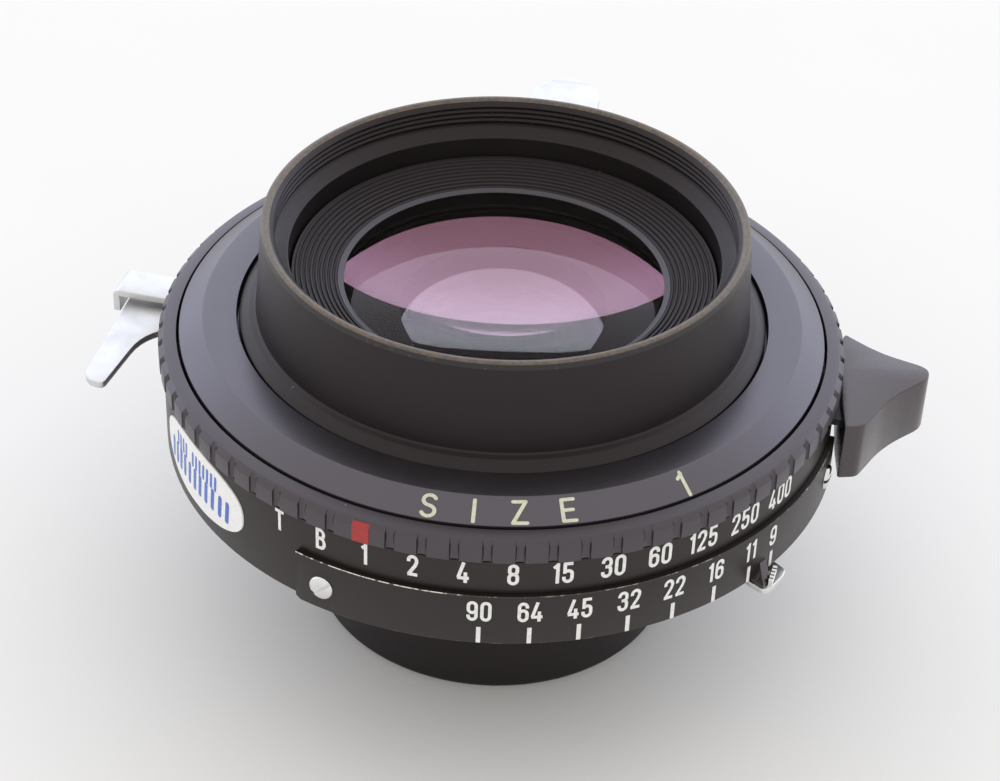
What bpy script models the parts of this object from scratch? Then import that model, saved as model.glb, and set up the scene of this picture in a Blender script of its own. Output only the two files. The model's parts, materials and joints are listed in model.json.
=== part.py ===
"""Large-format lens in a size 1 leaf shutter, standing on its rear barrel.

Metres, +Z up along the optical axis. The origin is the centre of the bounding box's bottom face, so the
optical axis is a parent empty placed by AXIS_X and AXIS_Y. All sizes below are in millimetres.
"""
import math

import bmesh
import bpy
from mathutils import Matrix, Vector

MM = 0.001

# Place of the optical axis: the levers make the object longer on one side than on the other.
AXIS_X = -1.11
AXIS_Y = -7.92

# Front cell
RIM_TOP_Z = 48.0
RIM_RADIUS = 25.4
BARREL_TOP_RADIUS = 25.7
BARREL_FOOT_RADIUS = 26.3
COLLAR_RADIUS = 28.0
COLLAR_TOP_Z = 37.5
COLLAR_FOOT_Z = 35.4
FILTER_BORE_RADIUS = 24.1
FILTER_BORE_Z = 45.6
BAFFLE_SEAT_RADIUS = 22.75
BAFFLE_SEAT_Z = 40.1
BAFFLE_SEAT_TOP_Z = 44.2
FRONT_SPIGOT_RADIUS = 19.85
FRONT_SPIGOT_Z = 29.6
FRONT_BORE_RADIUS = 18.5
FRONT_LIP_RADIUS = 16.0
FRONT_GLASS_RADIUS = 18.2

# Shutter
CASE_RADIUS = 36.25
CASE_FOOT_Z = 22.05
CASE_FLOOR_Z = 22.95
CASE_TOP_Z = 32.0
CASE_BORE_BLADES = 34.15
CASE_BORE_LEVERS = 34.75
CASE_BORE_TOP = 35.25
COVER_TOP_Z = 36.75
COVER_FLAT_RADIUS = 31.93
COVER_RIM_RADIUS = 34.4
COVER_RIM_Z = 35.2
COVER_OPENING_RADIUS = 28.35
COVER_SEAT_Z = 35.1
COVER_WEB_Z = 34.2
COVER_BORE = 20.3
COVER_SKIRT_BORE = 33.5
COVER_SKIRT_Z = 31.5
SPEED_RING_RADIUS = 36.75
SPEED_RING_BORE = 34.75
SPEED_RING_FOOT_Z = 32.25
SPEED_RING_TOP_Z = 35.0
NOTCH_PITCH = 5.0
NOTCH_DEPTH = 0.7
SPEED_INDEX_ANGLE = -110.8
TUBE_RADIUS = 19.5
TUBE_BORE = 18.2
TUBE_FOOT_Z = 15.4
SEAT_RADIUS = 28.0
SEAT_Z = 20.85
BOARD_THICKNESS = 2.1
BOARD_RING_HEIGHT = 2.0
BOARD_RING_RADIUS = 24.0
BOARD_RING_BORE = 19.95
BOARD_RING_EASE = 0.6

# Slots in the case: inner and outer radius, foot and top height, start and end angle, facets
CASE_SLOTS = {
    "cocking_slot": (33.0, 38.0, 29.2, 30.8, -19.5, 37.0, 12),
    "press_focus_slot": (33.0, 38.0, 29.2, 30.8, 62.0, 94.0, 7),
    "release_slot": (33.0, 38.0, 29.2, 30.8, 152.0, 187.0, 8),
    "aperture_slot": (31.0, 33.0, 21.0, 24.0, -94.5, -36.0, 12),
}

# Layers inside the shutter, from the rear: foot height of each and its thickness
IRIS_RING_Z = 23.25
IRIS_BLADE_Z = 24.05
BLADE_PLATE_Z = 26.1
DRIVE_RING_Z = 26.9
SHUTTER_BLADE_Z = 27.5
LEVER_Z = 29.6
MECHANISM_PLATE_Z = 30.7
GEAR_Z = 31.5
CAM_RING_Z = 33.4
BLADE_THICKNESS = 0.2
BLADE_PITCH = 0.4
SHEET = 0.5
LEVER_THICKNESS = 0.8
GAP = 0.3

# Rings inside the shutter: outer and inner radius
MECHANISM_PLATE_SIZE = (34.95, 20.3)
BLADE_PLATE_SIZE = (34.45, 16.0)
IRIS_RING_SIZE = (33.6, 24.0)
DRIVE_RING_SIZE = (30.3, 24.0)
CAM_RING_SIZE = (33.2, 24.0)

# Blades: five in each set, each on its own pin
BLADE_COUNT = 5
BLADE_PIN_CIRCLE = 31.5
BLADE_PIN_RADIUS = 0.7
BLADE_INNER_RADIUS = 15.6
BLADE_OUTER_RADIUS = 29.5
BLADE_START_ANGLE = -15.0
BLADE_END_ANGLE = 70.0
SHUTTER_FIRST_ANGLE = 20.0
IRIS_FIRST_ANGLE = 56.0

# Aperture scale
SCALE_INNER_RADIUS = 36.55
SCALE_OUTER_RADIUS = 36.9
SCALE_TOP_Z = 28.1
SCALE_START_ANGLE = -122.0
SCALE_END_ANGLE = -14.0
SCALE_SCREW_ANGLES = {"scale_screw_left": -117.7, "scale_screw_right": -18.5}
SCALE_SCREW_Z = 24.65
APERTURE_ANGLE = -38.8
APERTURE_LEVER_TOP_Z = 21.7
APERTURE_LEVER_REACH = 40.6
APERTURE_LEVER_HALF = 2.0
APERTURE_POST_RADIUS = 32.0

# Rear cell
REAR_RADIUS = 20.07
REAR_FLANGE_Z = 15.1
REAR_SPIGOT_RADIUS = 17.85
REAR_SPIGOT_Z = 22.6
REAR_BORE_RADIUS = 16.6
REAR_GLASS_RADIUS = 16.3

# Levers
COCKING_RING_INNER = 21.2
COCKING_RING_OUTER = 26.0
PRESS_FOCUS_ANGLE = 82.2
PRESS_FOCUS_PIVOT_RADIUS = 29.0
PRESS_FOCUS_TIP_RADIUS = 53.2
PRESS_FOCUS_PAD_Z = 35.0
PRESS_FOCUS_PAD_HALF = 4.2
RELEASE_PIVOT = (-29.0, 12.0)
LEVER_PIN_RADIUS = 0.9
LEVER_HOLE_RADIUS = 1.15
COCKING_ARM_ANGLES = (-14.0, -5.0)
GRIP_FOOT_Z = 24.2
GRIP_TOP_Z = 31.0
BRACKET_ANGLE = 167.5
BRACKET_TOP_Z = 31.8
BRACKET_REACH = 43.8

# Slow-speed train: posts as (radius, angle), teeth and tooth radii
GEAR_POST = (27.0, -70.0)
ESCAPE_POST = (27.0, -54.7)
PALLET_POST = (27.6, -40.6)
GEAR_TEETH = 16
GEAR_RADII = (3.45, 4.35)
ESCAPE_TEETH = 12
ESCAPE_RADII = (2.4, 3.3)
POST_RADIUS = 0.6
POST_TOP_Z = 32.8

# Main spring
SPRING_RADIUS = 27.0
SPRING_ANGLE = 235.0
SPRING_Z = 32.35
SPRING_TURNS = 7
SPRING_COIL = 0.68
SPRING_WIRE = 0.18
SPRING_LENGTH = 13.0

# Small outside pieces
SYNC_ANGLE = 124.0
SYNC_Z = 26.2
LABEL_ANGLE = -147.0
LABEL_Z = 27.6
LABEL_HALF_ANGLE = 12.4
LABEL_HALF_HEIGHT = 3.8

STEPS_LARGE = 42
STEPS_MEDIUM = 36
STEPS_SMALL = 24

parts = None
cutters = None
axis = None


def clear_scene():
    """Remove whatever objects the open file holds."""
    for old in list(bpy.data.objects):
        bpy.data.objects.remove(old, do_unlink=True)


def make_material(name, colour, roughness, metallic=0.0):
    """A Principled material with one colour."""
    material = bpy.data.materials.new(name)
    material.use_nodes = True
    shader = material.node_tree.nodes["Principled BSDF"]
    shader.inputs["Base Color"].default_value = (*colour, 1.0)
    shader.inputs["Roughness"].default_value = roughness
    shader.inputs["Metallic"].default_value = metallic
    return material


BLACK_ALLOY = ((0.035, 0.034, 0.036), 0.38, 0.9)
BLACK_PAINT = ((0.04, 0.038, 0.036), 0.45, 0.0)
BLACK_PLASTIC = ((0.025, 0.025, 0.028), 0.5, 0.0)
CHROME = ((0.82, 0.82, 0.83), 0.15, 1.0)
STEEL = ((0.5, 0.5, 0.52), 0.3, 1.0)
DARK_STEEL = ((0.06, 0.06, 0.065), 0.4, 0.8)
BRASS = ((0.62, 0.48, 0.22), 0.3, 1.0)
GLASS = ((0.75, 0.62, 0.72), 0.02, 0.0)
LABEL = ((0.85, 0.86, 0.87), 0.3, 0.0)


def place(obj, finish, parent=None, collection=None):
    """Put an object in its collection, under the optical axis, with its own material."""
    (collection or parts).objects.link(obj)
    obj.parent = parent or axis
    if finish:
        obj.data.materials.append(make_material(obj.name, *finish))
    return obj


def shade(mesh):
    """Smooth shading with sharp edges kept."""
    mesh.shade_smooth()
    mesh.set_sharp_from_angle(angle=math.radians(30))


def mesh_object(name, bm, finish, parent=None, collection=None):
    """Turn a bmesh into a placed object."""
    bmesh.ops.recalc_face_normals(bm, faces=bm.faces)
    mesh = bpy.data.meshes.new(name)
    bm.to_mesh(mesh)
    bm.free()
    shade(mesh)
    return place(bpy.data.objects.new(name, mesh), finish, parent, collection)


def turned(name, profile, finish, steps=STEPS_MEDIUM, parent=None, collection=None):
    """Turn a profile of (radius, height) about the optical axis.

    The profile runs down the outer side from the top. It is closed, unless both ends lie on the axis.
    """
    points = [(r * MM, 0.0, z * MM) for r, z in profile]
    on_axis = profile[0][0] == 0 and profile[-1][0] == 0
    count = len(points)
    edges = [(i, i + 1) for i in range(count - 1)]
    if not on_axis:
        edges.append((count - 1, 0))
    mesh = bpy.data.meshes.new(name)
    mesh.from_pydata(points, edges, [])
    obj = place(bpy.data.objects.new(name, mesh), finish, parent, collection)
    screw = obj.modifiers.new("Turn", "SCREW")
    screw.axis = "Z"
    screw.steps = steps
    screw.render_steps = steps
    screw.use_merge_vertices = True
    screw.merge_threshold = 0.00001
    screw.use_smooth_shade = False
    return obj


def flat_ring(size, foot, thickness):
    """Profile of a flat ring from its outer and inner radius."""
    outer, inner = size
    return [(outer, foot + thickness), (outer, foot), (inner, foot), (inner, foot + thickness)]


def cutter(obj):
    """Mark an object as a cutting tool."""
    obj.hide_render = True
    obj.display_type = "WIRE"
    return obj


def boolean(obj, tool, operation="DIFFERENCE"):
    """Add an exact Boolean modifier."""
    modifier = obj.modifiers.new(tool.name, "BOOLEAN")
    modifier.operation = operation
    modifier.solver = "EXACT"
    modifier.object = tool
    return obj


def rod(name, radius, start, end, segments=16):
    """A cylinder cutter between two points in millimetres."""
    start, end = Vector(start) * MM, Vector(end) * MM
    bm = bmesh.new()
    bmesh.ops.create_cone(
        bm, cap_ends=True, segments=segments, radius1=radius * MM, radius2=radius * MM,
        depth=(end - start).length,
    )
    turn = (end - start).to_track_quat("Z", "Y").to_matrix().to_4x4()
    bmesh.ops.transform(bm, matrix=Matrix.Translation((start + end) / 2) @ turn, verts=bm.verts)
    return cutter(mesh_object(name, bm, None, collection=cutters))


def arc(radius, start, end, count, centre=(0.0, 0.0)):
    """Points along an arc, angles in degrees."""
    angles = [math.radians(start + (end - start) * i / (count - 1)) for i in range(count)]
    return [(centre[0] + radius * math.cos(a), centre[1] + radius * math.sin(a)) for a in angles]


def circle(radius, count, centre=(0.0, 0.0)):
    """Points around a circle."""
    return arc(radius, 0.0, 360.0 * (count - 1) / count, count, centre)


def polar(radius, angle):
    """A point in the plan view at an angle in degrees."""
    return radius * math.cos(math.radians(angle)), radius * math.sin(math.radians(angle))


def rounded(corners, steps=4):
    """An outline whose corners (x, y, radius) are replaced by arcs."""
    outline = []
    count = len(corners)
    for i, (x, y, radius) in enumerate(corners):
        here = Vector((x, y))
        before = Vector(corners[i - 1][:2]) - here
        after = Vector(corners[(i + 1) % count][:2]) - here
        if radius == 0:
            outline.append((x, y))
            continue
        half = before.angle(after) / 2
        reach = radius / math.tan(half)
        start = here + before.normalized() * reach
        end = here + after.normalized() * reach
        centre = here + (before.normalized() + after.normalized()).normalized() * radius / math.sin(half)
        first, last = start - centre, end - centre
        for k in range(steps + 1):
            blend = first.lerp(last, k / steps).normalized() * radius
            outline.append(tuple(centre + blend))
    return outline


def sheet(name, outlines, foot, thickness, finish, pivot=(0.0, 0.0), parent=None):
    """A flat piece cut to outlines in the plan view; its origin is at the pivot."""
    curve = bpy.data.curves.new(name, "CURVE")
    curve.dimensions = "2D"
    curve.fill_mode = "BOTH"
    curve.extrude = thickness / 2 * MM
    for outline in outlines:
        spline = curve.splines.new("POLY")
        spline.points.add(len(outline) - 1)
        for point, (x, y) in zip(spline.points, outline):
            point.co = ((x - pivot[0]) * MM, (y - pivot[1]) * MM, 0.0, 1.0)
        spline.use_cyclic_u = True
    obj = place(bpy.data.objects.new(name, curve), finish, parent)
    obj.location = (pivot[0] * MM, pivot[1] * MM, (foot + thickness / 2) * MM)
    return obj


def loft(bm, rows):
    """Skin between four-cornered sections, closed at both ends."""
    for near, far in zip(rows, rows[1:]):
        for k in range(4):
            bm.faces.new((near[k], near[(k + 1) % 4], far[(k + 1) % 4], far[k]))
    bm.faces.new(rows[0])
    bm.faces.new(reversed(rows[-1]))


def arc_band(name, inner, outer, foot, top, start, end, steps, finish, collection=None):
    """A curved bar about the optical axis, between two angles in degrees."""
    bm = bmesh.new()
    corners = [(inner, foot), (outer, foot), (outer, top), (inner, top)]
    rows = []
    for i in range(steps + 1):
        angle = math.radians(start + (end - start) * i / steps)
        rows.append([
            bm.verts.new((r * math.cos(angle) * MM, r * math.sin(angle) * MM, z * MM)) for r, z in corners
        ])
    loft(bm, rows)
    return mesh_object(name, bm, finish, collection=collection)


def strip(name, stations, thickness, finish, direction, pivot=0.0):
    """A bent strip of sheet along a direction of the plan view; its origin is at the pivot's distance.

    A station is (distance from the optical axis, height of the upper face, half width).
    """
    bm = bmesh.new()
    rows = []
    for i, (distance, height, half_width) in enumerate(stations):
        before = Vector(stations[max(i - 1, 0)][:2])
        after = Vector(stations[min(i + 1, len(stations) - 1)][:2])
        along = (after - before).normalized()
        normal = Vector((-along.y, along.x))
        upper = Vector((distance, height))
        lower = upper - normal * thickness
        row = []
        for point, side in ((upper, 1), (upper, -1), (lower, -1), (lower, 1)):
            row.append(bm.verts.new(((point.x - pivot) * MM, side * half_width * MM, point.y * MM)))
        rows.append(row)
    loft(bm, rows)
    bmesh.ops.rotate(bm, verts=bm.verts, matrix=Matrix.Rotation(math.radians(direction), 3, "Z"))
    obj = mesh_object(name, bm, finish)
    x, y = polar(pivot, direction)
    obj.location = (x * MM, y * MM, 0.0)
    return obj


def sag_profile(radius, edge, apex, points=3):
    """Points of a spherical lens surface from its edge to the axis."""
    return [(radius * (1 - i / points), edge + (apex - edge) * (1 - (1 - i / points) ** 2))
            for i in range(points + 1)]


def lens(name, radius, top_edge, top_apex, foot_edge, foot_apex):
    """A lens element with two curved faces."""
    top = list(reversed(sag_profile(radius, top_edge, top_apex)))
    foot = sag_profile(radius, foot_edge, foot_apex)
    return turned(name, top + foot, GLASS, STEPS_SMALL)


def front_cell():
    """Front barrel, baffle ring, two elements and the spacer between them."""
    turned("front_barrel", [
        (RIM_RADIUS, RIM_TOP_Z),
        (BARREL_TOP_RADIUS, RIM_TOP_Z - 0.9),
        (BARREL_FOOT_RADIUS, COLLAR_TOP_Z),
        (27.0, COLLAR_TOP_Z - 0.2),
        (COLLAR_RADIUS, COLLAR_TOP_Z - 1.0),
        (COLLAR_RADIUS, COLLAR_FOOT_Z),
        (FRONT_SPIGOT_RADIUS, COLLAR_FOOT_Z),
        (FRONT_SPIGOT_RADIUS, FRONT_SPIGOT_Z),
        (FRONT_LIP_RADIUS, FRONT_SPIGOT_Z),
        (FRONT_LIP_RADIUS, FRONT_SPIGOT_Z + 0.7),
        (FRONT_BORE_RADIUS, FRONT_SPIGOT_Z + 0.7),
        (FRONT_BORE_RADIUS, BAFFLE_SEAT_Z),
        (BAFFLE_SEAT_RADIUS, BAFFLE_SEAT_Z),
        (BAFFLE_SEAT_RADIUS, BAFFLE_SEAT_TOP_Z),
        (FILTER_BORE_RADIUS, FILTER_BORE_Z),
        (FILTER_BORE_RADIUS, RIM_TOP_Z),
    ], BLACK_ALLOY, STEPS_MEDIUM)
    turned("front_baffle_ring", [
        (22.3, 42.0),
        (22.45, 41.8),
        (22.45, 40.4),
        (17.0, 40.4),
        (17.0, 40.6),
        (17.6, 40.75),
    ], BLACK_ALLOY, STEPS_MEDIUM)
    lens("front_outer_element", FRONT_GLASS_RADIUS, 38.2, 40.1, 36.4, 34.9)
    turned("front_spacer_ring", [
        (FRONT_GLASS_RADIUS, 35.8), (FRONT_GLASS_RADIUS, 34.0), (16.6, 34.0), (16.6, 35.8),
    ], BLACK_ALLOY, STEPS_SMALL)
    lens("front_inner_element", FRONT_GLASS_RADIUS, 33.7, 32.5, 30.8, 31.6)


def rear_cell():
    """Rear barrel, retaining ring, two elements and the spacer between them."""
    turned("rear_barrel", [
        (REAR_SPIGOT_RADIUS, REAR_SPIGOT_Z),
        (REAR_SPIGOT_RADIUS, REAR_FLANGE_Z),
        (REAR_RADIUS, REAR_FLANGE_Z),
        (REAR_RADIUS, 0.3),
        (REAR_RADIUS - 0.3, 0.0),
        (18.0, 0.0),
        (18.0, 2.9),
        (REAR_BORE_RADIUS, 2.9),
        (REAR_BORE_RADIUS, 21.9),
        (14.4, 21.9),
        (14.4, REAR_SPIGOT_Z),
    ], BLACK_ALLOY, STEPS_MEDIUM)
    turned("rear_retaining_ring", [
        (17.7, 2.6), (17.7, 1.0), (15.6, 1.0), (15.2, 1.4), (15.2, 2.6),
    ], BLACK_ALLOY, STEPS_SMALL)
    lens("rear_outer_element", REAR_GLASS_RADIUS, 5.0, 6.3, 3.2, 1.7)
    turned("rear_spacer_ring", [
        (REAR_GLASS_RADIUS, 18.3), (REAR_GLASS_RADIUS, 5.6), (14.8, 5.6), (14.8, 18.3),
    ], BLACK_ALLOY, STEPS_SMALL)
    lens("rear_inner_element", REAR_GLASS_RADIUS, 21.6, 20.4, 18.6, 19.4)


def shutter_case():
    """Cup-shaped case with the lens board's seat, the mounting tube and the slots its levers work through."""
    case = turned("shutter_case", [
        (CASE_RADIUS, CASE_TOP_Z),
        (CASE_RADIUS, CASE_FOOT_Z),
        (SEAT_RADIUS, CASE_FOOT_Z),
        (SEAT_RADIUS, SEAT_Z),
        (TUBE_RADIUS, SEAT_Z),
        (TUBE_RADIUS, TUBE_FOOT_Z),
        (TUBE_BORE, TUBE_FOOT_Z),
        (TUBE_BORE, CASE_FLOOR_Z),
        (CASE_BORE_BLADES, CASE_FLOOR_Z),
        (CASE_BORE_BLADES, BLADE_PLATE_Z - GAP),
        (CASE_BORE_LEVERS, BLADE_PLATE_Z - GAP),
        (CASE_BORE_LEVERS, MECHANISM_PLATE_Z - GAP),
        (CASE_BORE_TOP, MECHANISM_PLATE_Z - GAP),
        (CASE_BORE_TOP, CASE_TOP_Z),
    ], BLACK_ALLOY, STEPS_LARGE)
    for name, (inner, outer, foot, top, start, end, steps) in CASE_SLOTS.items():
        tool = arc_band(name, inner, outer, foot, top, start, end, steps, None, cutters)
        boolean(case, cutter(tool))
    for name, angle in SCALE_SCREW_ANGLES.items():
        x, y = polar(1.0, angle)
        tool = rod(f"{name}_case_hole", 0.9, (33 * x, 33 * y, SCALE_SCREW_Z), (39 * x, 39 * y, SCALE_SCREW_Z))
        boolean(case, tool)


def front_cover():
    """Cover plate with its sloped rim, the seat for the front cell and the skirt inside the speed ring."""
    turned("front_cover", [
        (COVER_FLAT_RADIUS, COVER_TOP_Z),
        (COVER_RIM_RADIUS, COVER_RIM_Z),
        (COVER_RIM_RADIUS, COVER_SKIRT_Z),
        (COVER_SKIRT_BORE, COVER_SKIRT_Z),
        (COVER_SKIRT_BORE, COVER_WEB_Z),
        (COVER_BORE, COVER_WEB_Z),
        (COVER_BORE, COVER_SEAT_Z),
        (COVER_OPENING_RADIUS, COVER_SEAT_Z),
        (COVER_OPENING_RADIUS, COVER_TOP_Z),
    ], BLACK_ALLOY, STEPS_LARGE)


def speed_ring():
    """Speed ring with finger notches all round its side."""
    full = [
        (SPEED_RING_BORE, SPEED_RING_TOP_Z),
        (SPEED_RING_RADIUS - 0.55, SPEED_RING_TOP_Z - 0.3),
        (SPEED_RING_RADIUS, SPEED_RING_TOP_Z - 0.85),
        (SPEED_RING_RADIUS, SPEED_RING_FOOT_Z),
        (SPEED_RING_BORE, SPEED_RING_FOOT_Z),
    ]
    notch_radius = SPEED_RING_RADIUS - NOTCH_DEPTH
    bm = bmesh.new()
    columns = []
    pitches = round(360 / NOTCH_PITCH)
    for i in range(2 * pitches):
        angle = math.radians(SPEED_INDEX_ANGLE + NOTCH_PITCH * i / 2)
        limit = notch_radius if i % 2 == 0 else SPEED_RING_RADIUS
        columns.append([
            bm.verts.new((min(r, limit) * math.cos(angle) * MM, min(r, limit) * math.sin(angle) * MM, z * MM))
            for r, z in full
        ])
    for i, near in enumerate(columns):
        far = columns[(i + 1) % len(columns)]
        for k in range(len(full)):
            n = (k + 1) % len(full)
            bm.faces.new((near[k], near[n], far[n], far[k]))
    mesh_object("speed_ring", bm, BLACK_ALLOY)
    turned("speed_cam_ring", flat_ring(CAM_RING_SIZE, CAM_RING_Z, SHEET), STEEL, STEPS_SMALL)


def blade_outline():
    """A blade parked in the ring-shaped space, its pin at angle zero."""
    middle = (BLADE_INNER_RADIUS + BLADE_OUTER_RADIUS) / 2
    half = (BLADE_OUTER_RADIUS - BLADE_INNER_RADIUS) / 2
    tip = []
    for i in range(1, 6):
        angle = math.pi * i / 6
        turn = BLADE_END_ANGLE + math.degrees(0.5 * half * math.sin(angle) / middle)
        tip.append(polar(middle + half * math.cos(angle), turn))
    ear = [polar(BLADE_PIN_CIRCLE + 0.4, -4.5), polar(33.2, -2.5), polar(33.2, 2.5),
           polar(BLADE_PIN_CIRCLE + 0.4, 4.5), polar(BLADE_OUTER_RADIUS, 7.0)]
    outer = arc(BLADE_OUTER_RADIUS, 13.0, BLADE_END_ANGLE, 8)
    inner = arc(BLADE_INNER_RADIUS, BLADE_END_ANGLE, BLADE_START_ANGLE, 10)
    return [polar(BLADE_OUTER_RADIUS, BLADE_START_ANGLE), polar(BLADE_OUTER_RADIUS, -7.0)] + ear \
        + outer + tip + inner


def turn_points(points, angle):
    """Turn plan points about the optical axis."""
    c, s = math.cos(math.radians(angle)), math.sin(math.radians(angle))
    return [(x * c - y * s, x * s + y * c) for x, y in points]


def blades(prefix, first_angle, first_foot, finish):
    """A set of blades, one above another, each with its origin on its pin."""
    shape = blade_outline()
    for i in range(BLADE_COUNT):
        angle = first_angle + 360 * i / BLADE_COUNT
        pin = polar(BLADE_PIN_CIRCLE, angle)
        hole = circle(BLADE_PIN_RADIUS + 0.25, 10, pin)
        sheet(f"{prefix}_{i + 1}", [turn_points(shape, angle), hole], first_foot + BLADE_PITCH * i,
              BLADE_THICKNESS, finish, pivot=pin)


def blade_plate():
    """Plate between the two blade sets, with the pins of both."""
    plate = turned("blade_plate", flat_ring(BLADE_PLATE_SIZE, BLADE_PLATE_Z, SHEET), DARK_STEEL, STEPS_MEDIUM)
    inside = BLADE_PLATE_Z + 0.2
    shutter_pin_top = SHUTTER_BLADE_Z + 1.9
    iris_pin_foot = IRIS_BLADE_Z - 0.05
    for i in range(BLADE_COUNT):
        step = 360 * i / BLADE_COUNT
        at = polar(BLADE_PIN_CIRCLE, SHUTTER_FIRST_ANGLE + step)
        pin = rod(f"shutter_pin_{i}", BLADE_PIN_RADIUS, (*at, inside), (*at, shutter_pin_top), 8)
        boolean(plate, pin, "UNION")
        at = polar(BLADE_PIN_CIRCLE, IRIS_FIRST_ANGLE + step)
        pin = rod(f"iris_pin_{i}", BLADE_PIN_RADIUS, (*at, iris_pin_foot), (*at, inside), 8)
        boolean(plate, pin, "UNION")


def aperture_control():
    """Aperture lever with its post through the case, its pointer, and the iris ring it turns."""
    top, half, neck = APERTURE_LEVER_TOP_Z, APERTURE_LEVER_HALF, 1.6
    rounding = [(APERTURE_LEVER_REACH - half + half * math.sin(a), top, half * math.cos(a))
                for a in (math.radians(d) for d in (0, 30, 60, 80))]
    stations = [(30.0, top, neck), (34.0, top, neck), (36.0, top, half)] + rounding
    lever = strip("aperture_lever", stations, 0.7, CHROME, APERTURE_ANGLE)
    post = polar(APERTURE_POST_RADIUS, APERTURE_ANGLE)
    post_top = IRIS_RING_Z + SHEET - 0.05
    boolean(lever, rod("aperture_post", 0.6, (*post, top - 0.4), (*post, post_top), 10), "UNION")
    arc_band("aperture_pointer", SCALE_OUTER_RADIUS + 0.25, SCALE_OUTER_RADIUS + 1.4, top + GAP, top + 1.9,
             APERTURE_ANGLE - 2.0, APERTURE_ANGLE + 0.2, 2, BLACK_PLASTIC)
    ring = turned("iris_ring", flat_ring(IRIS_RING_SIZE, IRIS_RING_Z, SHEET), STEEL, STEPS_MEDIUM)
    boolean(ring, rod("iris_ring_hole", 0.9, (*post, IRIS_RING_Z - 0.7), (*post, IRIS_RING_Z + 1.2), 10))


def scale_plate():
    """Curved aperture scale and its two screws."""
    plate = arc_band("aperture_scale_plate", SCALE_INNER_RADIUS, SCALE_OUTER_RADIUS, CASE_FOOT_Z, SCALE_TOP_Z,
                     SCALE_START_ANGLE, SCALE_END_ANGLE, 27, BLACK_PAINT)
    for name, angle in SCALE_SCREW_ANGLES.items():
        x, y = polar(1.0, angle)
        z = SCALE_SCREW_Z
        boolean(plate, rod(f"{name}_hole", 0.9, (33 * x, 33 * y, z), (39 * x, 39 * y, z)))
        screw = turned(name, [(0, 0.45), (1.1, 0.45), (1.35, 0.25), (1.35, 0.0), (0.6, 0.0), (0.6, -2.0),
                              (0, -2.0)], CHROME, 16)
        screw.location = (37.15 * x * MM, 37.15 * y * MM, z * MM)
        screw.rotation_euler = (0.0, math.radians(90), math.radians(angle))


def oval_label():
    """Thin oval label on the side of the case, lofted through upright sections."""
    steps = 12
    bm = bmesh.new()
    rows = []
    for i in range(steps + 1):
        turn = math.radians(10 + 160 * i / steps)
        angle = LABEL_ANGLE - LABEL_HALF_ANGLE * math.cos(turn)
        height = LABEL_HALF_HEIGHT * math.sin(turn)
        row = []
        for radius, side in ((36.6, -1), (36.8, -1), (36.8, 1), (36.6, 1)):
            x, y = polar(radius * MM, angle)
            row.append(bm.verts.new((x, y, (LABEL_Z + side * height) * MM)))
        rows.append(row)
    loft(bm, rows)
    mesh_object("oval_label", bm, LABEL)


def cocking_lever():
    """Cocking ring with its arm, and the grip on the arm's end."""
    arm_start, arm_end = COCKING_ARM_ANGLES
    near = polar(COCKING_RING_OUTER, arm_start)
    far = polar(COCKING_RING_OUTER, arm_end)
    outline = arc(COCKING_RING_OUTER, arm_end, 360 + arm_start, 36)
    outline += [(36.0, near[1] - 2.7), (38.9, near[1] - 2.3), (38.9, far[1] - 1.1), (36.0, far[1] - 1.0)]
    sheet("cocking_lever", [outline, circle(COCKING_RING_INNER, 32)], LEVER_Z, LEVER_THICKNESS, CHROME)
    corners = [(36.45, -11.2, 0.2), (38.3, -10.9, 0.5), (40.6, -7.2, 4.0), (46.0, -2.3, 0.6),
               (46.5, -0.2, 1.0), (45.6, 0.8, 0.8), (41.8, 2.6, 12.0), (37.8, 6.1, 0.3),
               (36.6, 3.4, 0.6), (36.65, -1.5, 0.6), (36.4, -6.5, 0.6)]
    grip = sheet("grip_blank", [rounded(corners)], GRIP_FOOT_Z, GRIP_TOP_Z - GRIP_FOOT_Z, BLACK_PLASTIC)
    grip = as_mesh(grip, "cocking_grip")
    clear = 0.25
    pocket = box("grip_pocket", (36.0, -9.25, LEVER_Z - clear), (39.2, -2.9, LEVER_Z + LEVER_THICKNESS + clear))
    boolean(grip, pocket)


def release_lever():
    """Tapered release lever, and the bracket with the turned-down tab beside it."""
    pin = RELEASE_PIVOT
    corners = [(pin[0] - 1.8, pin[1] + 3.3, 2.0), (-41.4, 8.6, 0.8), (-44.3, -6.2, 1.2), (-41.9, -8.2, 1.2),
               (-39.2, 0.8, 2.0), (-35.0, 3.2, 2.0), (pin[0] + 2.0, pin[1] - 2.6, 2.0),
               (pin[0] + 2.8, pin[1] + 2.4, 2.0)]
    sheet("release_lever", [rounded(corners), circle(LEVER_HOLE_RADIUS, 14, pin)], LEVER_Z, LEVER_THICKNESS,
          CHROME, pivot=pin)
    lever_pin("release_lever_pin", pin)
    half, top, reach = 2.1, BRACKET_TOP_Z, BRACKET_REACH
    stations = [(CASE_RADIUS + 0.4, top, half), (reach - 1.2, top, half), (reach - 0.3, top - 0.45, half),
                (reach, top - 0.9, half), (reach, top - 2.7, half)]
    strip("cable_release_bracket", stations, LEVER_THICKNESS, CHROME, BRACKET_ANGLE)


def lever_pin(name, at):
    """Headed pin that a lever swings on, set in the mechanism plate."""
    head_foot = MECHANISM_PLATE_Z + SHEET + GAP
    head_top, head_radius, foot = head_foot + 0.6, 1.6, LEVER_Z - 0.1
    pin = turned(name, [
        (0, head_top), (head_radius, head_top), (head_radius, head_foot), (LEVER_PIN_RADIUS, head_foot),
        (LEVER_PIN_RADIUS, foot), (0, foot),
    ], STEEL, 16)
    pin.location = (at[0] * MM, at[1] * MM, 0.0)


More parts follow.
